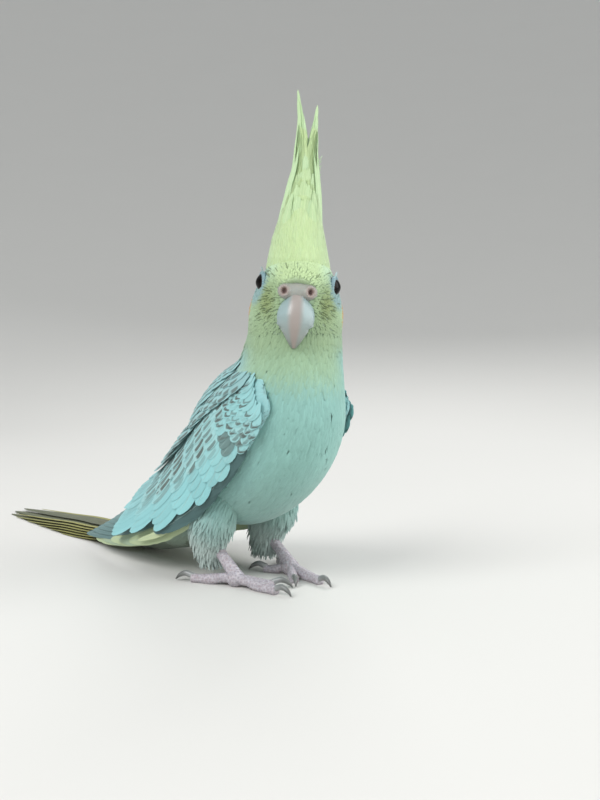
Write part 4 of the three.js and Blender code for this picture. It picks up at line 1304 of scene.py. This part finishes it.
def makeCrest():
    specs = []
    tops = crestShape["tops"]
    for k, top in enumerate(tops):
        v = k / (len(tops) - 1)
        for i in range(9 if top > 32 else 0):
            u = (i / 8 * 2 - 1) * 0.6 + rng.normal(0, 0.02)
            height = top * (1 - 0.10 * u * u) + rng.normal(0, 0.8)
            tone = np.clip(0.75 - 0.5 * v + rng.normal(0, 0.12), 0, 1)
            specs.append(crestFeatherSpec(u, v, height, 3.0, 0, tone))
    for plume, heights in crestShape["plumeTops"]:
        for i, top in enumerate(heights):
            for u in ((0.0,) if i == 0 else (-0.45, 0.45)):
                specs.append(crestFeatherSpec(u + 0.45 * plume, 0.52 - 0.02 * i, top, 3.4 - 0.12 * i,
                                              plume, 0.3 + 0.1 * rng.random()))

    def barbPlace(across, rise, out):
        return onHead(across, 2.5 + out, 38 + rise)
    for i in range(5):      # loose barbs stand off the left edge
        specs.append({"place": barbPlace, "root": (2.6, 1.4 * i), "tip": (5.0 - 0.2 * (i % 2), 4.2 + 1.5 * i),
                      "rise": (0, -0.3), "width": 0.4, "blunt": 1.5, "tint": tints["crown"]})
    vanePiece("crest_feathers", specs, crestFeather, "crest_feather", ("crest",), rings=20, frayed=0.25,
              thickness=0.12, cup=0.0, ridge=0.08)

    heights = np.linspace(5.5, 43, 50)
    angle = np.linspace(0, 2 * math.pi, 48, endpoint=False)
    core = crestCore(heights[:, None], angle[None])
    ends = np.stack([core[0].mean(0), core[-1].mean(0)])
    points = closedTube(core[None], ends[:1], ends[1:])
    uv = np.stack(np.broadcast_arrays(angle[None] / 6.6 + 0.02, heights[:, None] / 52), -1).reshape(-1, 2)
    meshPiece("crest_core", points, tubeFaces(50, 48), hide, (),
              {"tint": np.broadcast_to(tints["crown"], (points.shape[1], 3))},
              {"OFBake": np.concatenate([uv[:1], uv, uv[-1:]])})

    high, angle = [], []
    for row, level in enumerate(np.arange(*crestShape["coatRows"])):
        loop = crestCore(np.full(40, level), np.linspace(0, 2 * math.pi, 40))
        circumference = np.sum(np.linalg.norm(np.diff(loop, axis=0), axis=1))
        count = max(8, int(circumference / crestShape["coatSpacing"]))
        angle.append(roundSteps(count, row))
        high.append(np.full(count, level))
    angle = np.concatenate(angle) + rng.normal(0, 0.02, sum(map(len, angle)))
    high = np.concatenate(high) + rng.normal(0, 0.35, len(angle))
    keep = high > 6.8 * (np.cos(angle) > 0.3)       # none on the cere
    high, angle = high[keep], angle[keep]
    count = len(high)
    size = smooth(high, 8, 34)
    length = lerp(*crestShape["coatLength"], size) * rng.uniform(0.8, 1.2, count)
    length = length * lerp(1, 0.8, smooth(high, 40, 50))
    width = lerp(*crestShape["coatWidth"], size) * rng.uniform(0.8, 1.2, count)
    along = smallVane["along"]
    reach = high[:, None] + length[:, None] * along
    plume = np.where(np.sin(angle) + rng.normal(0, 0.1, count) < 0.05, -1, 1)
    centre = crestCore(reach, angle[:, None], 0.1 + 0.25 * along, plume[:, None])
    outward = unit(crestCore(high, angle, 1.0) - crestCore(high, angle))
    aside = unit(np.cross(outward, crestCore(high + 1, angle, 0, plume) - crestCore(high, angle, 0, plume)))
    rings = smallEdges(centre, aside, width, centre + outward[:, None] * 0.09)
    front = np.clip(0.5 + 0.5 * np.cos(angle) + rng.normal(0, 0.12, count), 0, 1)[:, None]
    tint = lerp(tints["crown"], tints["forehead"], front) * (1 + rng.normal(0, 0.03, (count, 1)))
    roots = crestCore(high, angle, -0.2, plume)
    corner = np.stack([angle % (2 * math.pi) / 6.6 + 0.02, high / 52], -1)
    last = crestCore(high + length, angle, 0.4, plume)
    tuftPiece("crest_coat", rings, roots, last, along, smallVane["across"], tint, np.zeros((count, 3)),
              length, (corner, smallVane["patch"]), crestFeather)
    print("crest", len(specs), count)


makeCrest()
print("crest made")


# bill, cere, eyes and lids

def shapedPiece(name, tube, material, replaced, tint=None):
    rings, first, last = tube
    points = closedTube(rings, first, last)
    steps, sides = rings.shape[1:3]
    v = np.concatenate([[0.0], np.repeat(np.linspace(0, 1, steps), sides), [1.0]])
    u = np.concatenate([[0.5], np.tile(np.linspace(0, 1, sides), steps), [0.5]])
    uv = np.stack([u, v], -1)
    return meshPiece(name, points, tubeFaces(steps, sides), material, replaced,
                     None if tint is None else {"tint": tint}, {"vane": uv, "OFBake": 0.02 + 0.96 * uv})


headSide = headMatrix[:, 0]


def roundGrid(rows, around, edge):
    # angles from one pole to the other, and round them
    return (np.linspace(edge, math.pi - edge, rows)[:, None],
            np.linspace(0, 2 * math.pi, around, endpoint=False)[None])


def billShape(f, angle):
    # a broad ridge along the top, flatter sides, and a tooth where the edge steps in towards the tip
    turn = np.abs(angle - math.pi / 2)
    ridge = 0.09 * np.exp(-(turn / 0.42) ** 4) * (1 - 0.6 * f)
    hollow = -0.06 * np.exp(-((turn - 0.85) / 0.3) ** 2)
    edge = np.exp(-(np.minimum(np.abs(angle - 0.05), np.abs(angle - math.pi + 0.05)) / 0.5) ** 2)
    tooth = 0.06 * np.exp(-((f - 0.63) / 0.03) ** 2) - 0.12 * np.exp(-((f - 0.70) / 0.028) ** 2)
    return 1 + ridge + hollow + tooth * edge


billSizes = {
    "path": [(0, -10.5, 0), (0, -14.6, -2.2), (0, -17, -5.6), (0, -17.4, -9.6), (0, -16.4, -14.8)],
    "lowerPath": [(0, -8, -7), (0, -11, -9.4), (0, -13.4, -11.4), (0, -14.6, -12.6)],
    "widths": [3.6, 4.3, 5.0, 5.6, 5.95, 6.0, 5.7, 4.9, 3.5, 2.3, 0.9],
    "heights": [3.6, 3.9, 4.2, 4.3, 4.1, 3.8, 3.5, 3.0, 2.4, 1.6, 0.7],
}


def makeBill():
    upperPath, lowerPath = ([onHead(*point) for point in billSizes[key]] for key in ("path", "lowerPath"))
    upper = limbRings(upperPath, billSizes["widths"], billSizes["heights"], -headSide, 64, 80, billShape)
    shapedPiece("upper_bill", upper, billHorn, ("bill_upper",))
    lower = limbRings(lowerPath, [4.4, 4.6, 3.6, 1.8], [2.6, 2.6, 2, 0.9], headSide, 36, 30)
    shapedPiece("lower_bill", lower, billHorn, ("bill_lower",))


def makeCere():
    # a saddle over the bill's root with a swelling round each nostril
    parts = [((0, -12.4, 2.3), (6.2, 4.4, 4)), ((-4.0, -13.7, 2.6), (2.9, 3.0, 2.9)),
             ((4.0, -13.7, 2.6), (2.9, 3.0, 2.9))]

    def field(points):
        return joined(((np.linalg.norm((points - centre) / np.array(radii), axis=-1) - 1) * min(radii)
                       for centre, radii in parts), 1.2)
    theta, phi = roundGrid(90, 120, 0.03)
    ray = np.stack([np.sin(theta) * np.cos(phi), np.sin(theta) * np.sin(phi), np.cos(theta) + 0 * phi], -1)
    origin = np.array([0, -12.4, 2.6])
    near = reachOf(field, origin, ray, 12.0)
    spots = origin + ray * near[..., None]
    tint = np.broadcast_to(tints["cere"], spots.shape).copy()
    for side in (-1, 1):        # nostrils: a shallow pit with a raised, reddish rim, the pit coloured dark red as painted shade for the opening
        hole = np.array([side * 4.2, -15.9, 3.0])
        distance = np.linalg.norm((spots - hole) * np.array([1.0, 0.6, 0.85]), axis=-1)
        pit = 1.5 * np.exp(-(distance / 0.85) ** 4) - 0.4 * np.exp(-((distance - 1.5) / 0.42) ** 2)
        tint = lerp(tint, tints["nostrilRim"], (np.exp(-(distance / 1.6) ** 4) * 0.7)[..., None])
        # the pit's dark red is painted shade for the inside of the nostrils' opening
        tint = lerp(tint, tints["nostril"], np.exp(-(distance / 0.95) ** 6)[..., None])
        spots = spots + np.array([-side * 0.15, 1, -0.1]) * pit[..., None]
    spots = onHead(*np.moveaxis(spots, -1, 0))
    ends = origin + np.array([[0, 0, 1.0], [0, 0, -1.0]]) * near[[0, -1], 0][:, None]
    ends = onHead(*ends.T)
    tint = np.concatenate([tint[:1, 0], tint.reshape(-1, 3), tint[-1:, 0]])
    shapedPiece("cere_skin", (spots[None], ends[:1], ends[1:]), cereSkin, ("cere",), tint)


def makeEye(side, name):
    out, back, up = body["eyePlace"]
    theta, phi = roundGrid(40, 48, 0.02)
    bulge = 1 + 0.05 * np.exp(-(theta / 0.6) ** 2)
    radius = body["eyeRadius"] - 0.05
    local = np.stack([side * np.cos(theta) * bulge + 0 * phi, np.sin(theta) * np.cos(phi) * side,
                      np.sin(theta) * np.sin(phi)], -1) * radius
    local = local + np.array([side * out, back, up])
    spots = onHead(*np.moveaxis(local, -1, 0))
    ends = onHead(side * out + side * radius * np.array([1.05, -1]), back, up)
    shapedPiece(f"eyeball_{name}", (spots[None], ends[:1], ends[1:]), eyeWet, (f"eye_{name}",))
    # bare lids: a puckered ring round the eye
    major, minor = body["eyeRadius"] - 0.25, 0.75
    around, across = 72, 14
    a = np.linspace(0, 2 * math.pi, around, endpoint=False)[:, None]
    b = np.linspace(0, 2 * math.pi, across, endpoint=False)[None]
    pucker = 1 + 0.10 * np.sin(24 * a)
    away = major + minor * np.cos(b) * pucker
    ring = np.stack([side * (minor * np.sin(b) * pucker), away * np.cos(a) + 0 * b,
                     0.92 * away * np.sin(a)], -1)
    ring = ring @ turned("z", side * -14).T
    ring = ring + np.array([side * (out + 1.45), back - 0.35, up])
    spots = onHead(*np.moveaxis(ring, -1, 0)).reshape(-1, 3)
    i, j = np.meshgrid(np.arange(around), np.arange(across), indexing="ij")

    def at(p, q):
        return (p % around) * across + q % across
    quads = np.stack([at(i, j), at(i + 1, j), at(i + 1, j + 1), at(i, j + 1)], -1).reshape(-1, 4)
    if side < 0:
        quads = quads[:, ::-1]
    uv = np.stack([i / around, j / across], -1).reshape(-1, 2) * 0.9 + 0.05
    meshPiece(f"eyelid_{name}", spots, [quads], lidSkin, (), None, {"OFBake": uv})


def makeLashes():
    # short, stiff feathers stand off the rims of the lids
    out, back, up = body["eyePlace"]
    roots, ways, outward = [], [], []
    for side in (-1, 1):
        for angle in np.concatenate([np.linspace(45, 135, 14), np.linspace(225, 315, 12)]):
            a = math.radians(angle + rng.normal(0, 4))
            radial = np.array([0, math.cos(a) * side, math.sin(a)])
            roots.append(np.array([side * (out + 1.3), back - 0.35, up]) + radial * 3.9)
            ways.append(unit(radial + np.array([side * rng.uniform(0.3, 0.9), -0.2, 0])))
            outward.append([side, 0, 0])
    roots = onHead(*np.array(roots).T)
    ways, outward = np.array(ways) @ headMatrix.T, np.array(outward) @ headMatrix.T
    count = len(roots)
    length, width = rng.uniform(1.1, 1.9, count), rng.uniform(0.25, 0.4, count)
    aside = unit(np.cross(outward, ways))
    centre = smallMiddle(roots, ways, length)
    rings = smallEdges(centre, aside, width, centre + outward[:, None] * 0.08)
    smallTufts("lash_feathers", rings, roots, roots + ways * length[:, None], roots, length,
               np.broadcast_to(tints["lash"], (count, 3)), downFeather)


makeBill()
makeCere()
makeLashes()
makeEye(1, "left")
makeEye(-1, "right")
print("bill, cere and eyes made")


# feet and claws

feet = {"width": 25, "ballBack": 19, "heel": (33.5, 14.5),
        "shankSizes": [2.4, 1.9, 2.4], "clawSizes": [1.05, 1.0, 0.7, 0.22],
        # along the toe: a share of its length, the height over or under its radius, the radius's factor
        "joints": [(0.04, 0.9, 1.15), (0.3, 0.7, 0.95), (0.55, -0.15, 1.12), (0.8, -0.3, 0.9),
                   (0.97, -0.4, 1.0)],
        "clawLine": [(2, -1), (2.9, 2.1), (2, 4.5), (0.55, 6)],      # height, reach past the toe
        "toes": [("outer_front", -8, 19, 1.75), ("inner_front", -36, 14, 1.6),
                 ("outer_back", 152, 17, 1.7), ("inner_back", 206, 10.5, 1.5)]}      # angle, length, radius


def scutes(count):
    # plates round the toe's upper side, each with a raised lower edge, and small pads below
    def shape(f, angle):
        wave = (f * count) % 1.0
        top = smooth(np.sin(angle), -0.2, 0.5)
        pads = np.sin(f * count * 2 * math.pi) * np.sin(angle * 7)
        return 1 + 0.07 * top * (wave - 0.4) + 0.05 * (1 - top) * pads
    return shape


def makeFoot(side, name):
    middle = side * feet["width"] / 2
    ball = np.array([middle, feet["ballBack"], 2.6])
    (back, high), front = feet["heel"], feet["ballBack"]
    shank = [(middle, back, high), (middle, (back + front) / 2, (high + 3.6) / 2), (middle, front, 3.6)]
    sizes = feet["shankSizes"]
    shapes = [limbRings(shank, sizes, sizes, (-1, 0, 0), 28, 90, scutes(15))]
    for toe, angle, length, radius in feet["toes"]:
        way = np.array([side * math.sin(math.radians(angle)), -math.cos(math.radians(angle)), 0])

        def at(share, z, reach=0.0):
            return (ball + way * (share * length + reach)) * np.array([1, 1, 0]) + np.array([0, 0, z])
        path = [at(share, radius + above) for share, above, _ in feet["joints"]]
        sizes = [radius * factor for _, _, factor in feet["joints"]]
        across = np.cross(way, (0, 0, 1))
        shapes.append(limbRings(path, sizes, sizes, across, 26, 96, scutes(int(length * 0.95))))
        claw = limbRings([at(1, *step) for step in feet["clawLine"]], feet["clawSizes"], feet["clawSizes"],
                         across, 20, 30)
        shapedPiece(f"nail_{name}_{toe}", claw, clawHorn, (f"claw_{name}_{toe}",))
    theta, phi = roundGrid(20, 28, 0.1)
    ballRings = ball + np.stack([np.sin(theta) * np.cos(phi) * 3.2, np.sin(theta) * np.sin(phi) * 3.4,
                                 np.cos(theta) * 3 + 0 * phi], -1)
    shapes.append((ballRings[None], (ball + [0, 0, 3])[None], (ball - [0, 0, 3])[None]))
    points, faces, start = [], [], 0
    for rings, first, last in shapes:
        spot = closedTube(rings, first, last)[0]
        spot[:, 2] = np.maximum(spot[:, 2], 0.0)        # pressed flat on the floor
        quads, fans = tubeFaces(*rings.shape[1:3])
        points.append(spot)
        faces += [quads + start, fans + start]
        start += len(spot)
    points = np.concatenate(points)
    uv = (points[:, :2] - points[:, :2].min(0)) / 60
    meshPiece(f"foot_{name}_skin", points, faces, footSkin, (f"foot_{name}",), None,
              {"OFBake": uv})


makeFoot(1, "left")
makeFoot(-1, "right")
print("feet made")


# floor, light and camera

studio = {"floor": "#d9d8d4", "lens": 40.5, "distance": 0.300, "azimuth": -42, "elevation": 2.5,
          "target": (0, 0, 64), "flat": 0.6, "far": 2.6, "rise": 1.9, "world": 0.6,
          # angle from the camera, height, distance, size, power
          "lamps": {"key": (-38, 0.75, 0.8, 0.6, 7.2), "fill": (75, 0.4, 0.9, 0.8, 6.0),
                    "rim": (165, 0.7, 0.8, 0.5, 3.0)}}


def makeStudio():
    floorMaterial, floorShader = newMaterial("matt painted board", roughness=0.9)
    speck = addNode(floorMaterial, "ShaderNodeTexNoise", {"Scale": 40.0, "Detail": 4.0})
    tone = blended(floorMaterial, maths(floorMaterial, "MULTIPLY", speck.outputs["Fac"], 0.12),
                   colour(studio["floor"]), colour("#c9c8c3"))
    floorMaterial.node_tree.links.new(tone, floorShader.inputs["Base Color"])
    # a flat floor that rises softly far from the bird, the same on every side
    reach = np.concatenate([[0.2, 0.45], np.linspace(studio["flat"], studio["flat"] + studio["far"], 27)])
    turn = np.linspace(0, 2 * math.pi, 64, endpoint=False)
    rise = studio["rise"] * (np.maximum(reach - studio["flat"], 0) / studio["far"]) ** 2
    points = [(0, 0, 0)] + [(r * math.cos(a), r * math.sin(a), z) for r, z in zip(reach, rise) for a in turn]
    faces = [(0, 1 + k, 1 + (k + 1) % 64) for k in range(64)]
    faces += [(1 + 64 * r + k, 65 + 64 * r + k, 65 + 64 * r + (k + 1) % 64, 1 + 64 * r + (k + 1) % 64)
              for r in range(len(reach) - 1) for k in range(64)]
    mesh = bpy.data.meshes.new("studio_floor")
    mesh.from_pydata(points, [], faces)
    for polygon in mesh.polygons:
        polygon.use_smooth = True
    floor = placed("studio_floor", mesh)
    mesh.materials.append(floorMaterial)

    target = toFrame(np.array(studio["target"], float))
    way, level = math.radians(studio["azimuth"]), math.radians(studio["elevation"])
    back = np.array([math.sin(way) * math.cos(level), -math.cos(way) * math.cos(level), math.sin(level)])
    camera = placed("camera", bpy.data.cameras.new("camera"))
    camera.location = target + back * studio["distance"]
    camera.rotation_euler = (math.pi / 2 - level, 0, way)
    camera.data.lens = studio["lens"]
    camera.data.sensor_width = 36
    camera.data.clip_start = 0.01
    bpy.context.scene.camera = camera

    for name, (azimuth, height, distance, size, power) in studio["lamps"].items():
        lamp = placed(name, bpy.data.lights.new(name, "AREA"))
        lamp.data.size, lamp.data.energy = size, power
        a = math.radians(studio["azimuth"] + azimuth)
        spot = np.array([math.sin(a), -math.cos(a), 0]) * distance + np.array([0, 0, height])
        lamp.location = spot
        lamp.rotation_euler = (Vector((0, 0, 0.06)) - Vector(spot)).to_track_quat("-Z", "Y").to_euler()
    world = bpy.data.worlds.new("soft room")
    bpy.context.scene.world = world
    world.use_nodes = True
    world.node_tree.nodes["Background"].inputs[0].default_value = (0.94, 0.97, 1.0, 1)
    world.node_tree.nodes["Background"].inputs[1].default_value = studio["world"]
    bpy.context.scene.view_settings.view_transform = "Standard"


makeStudio()
print("studio made")
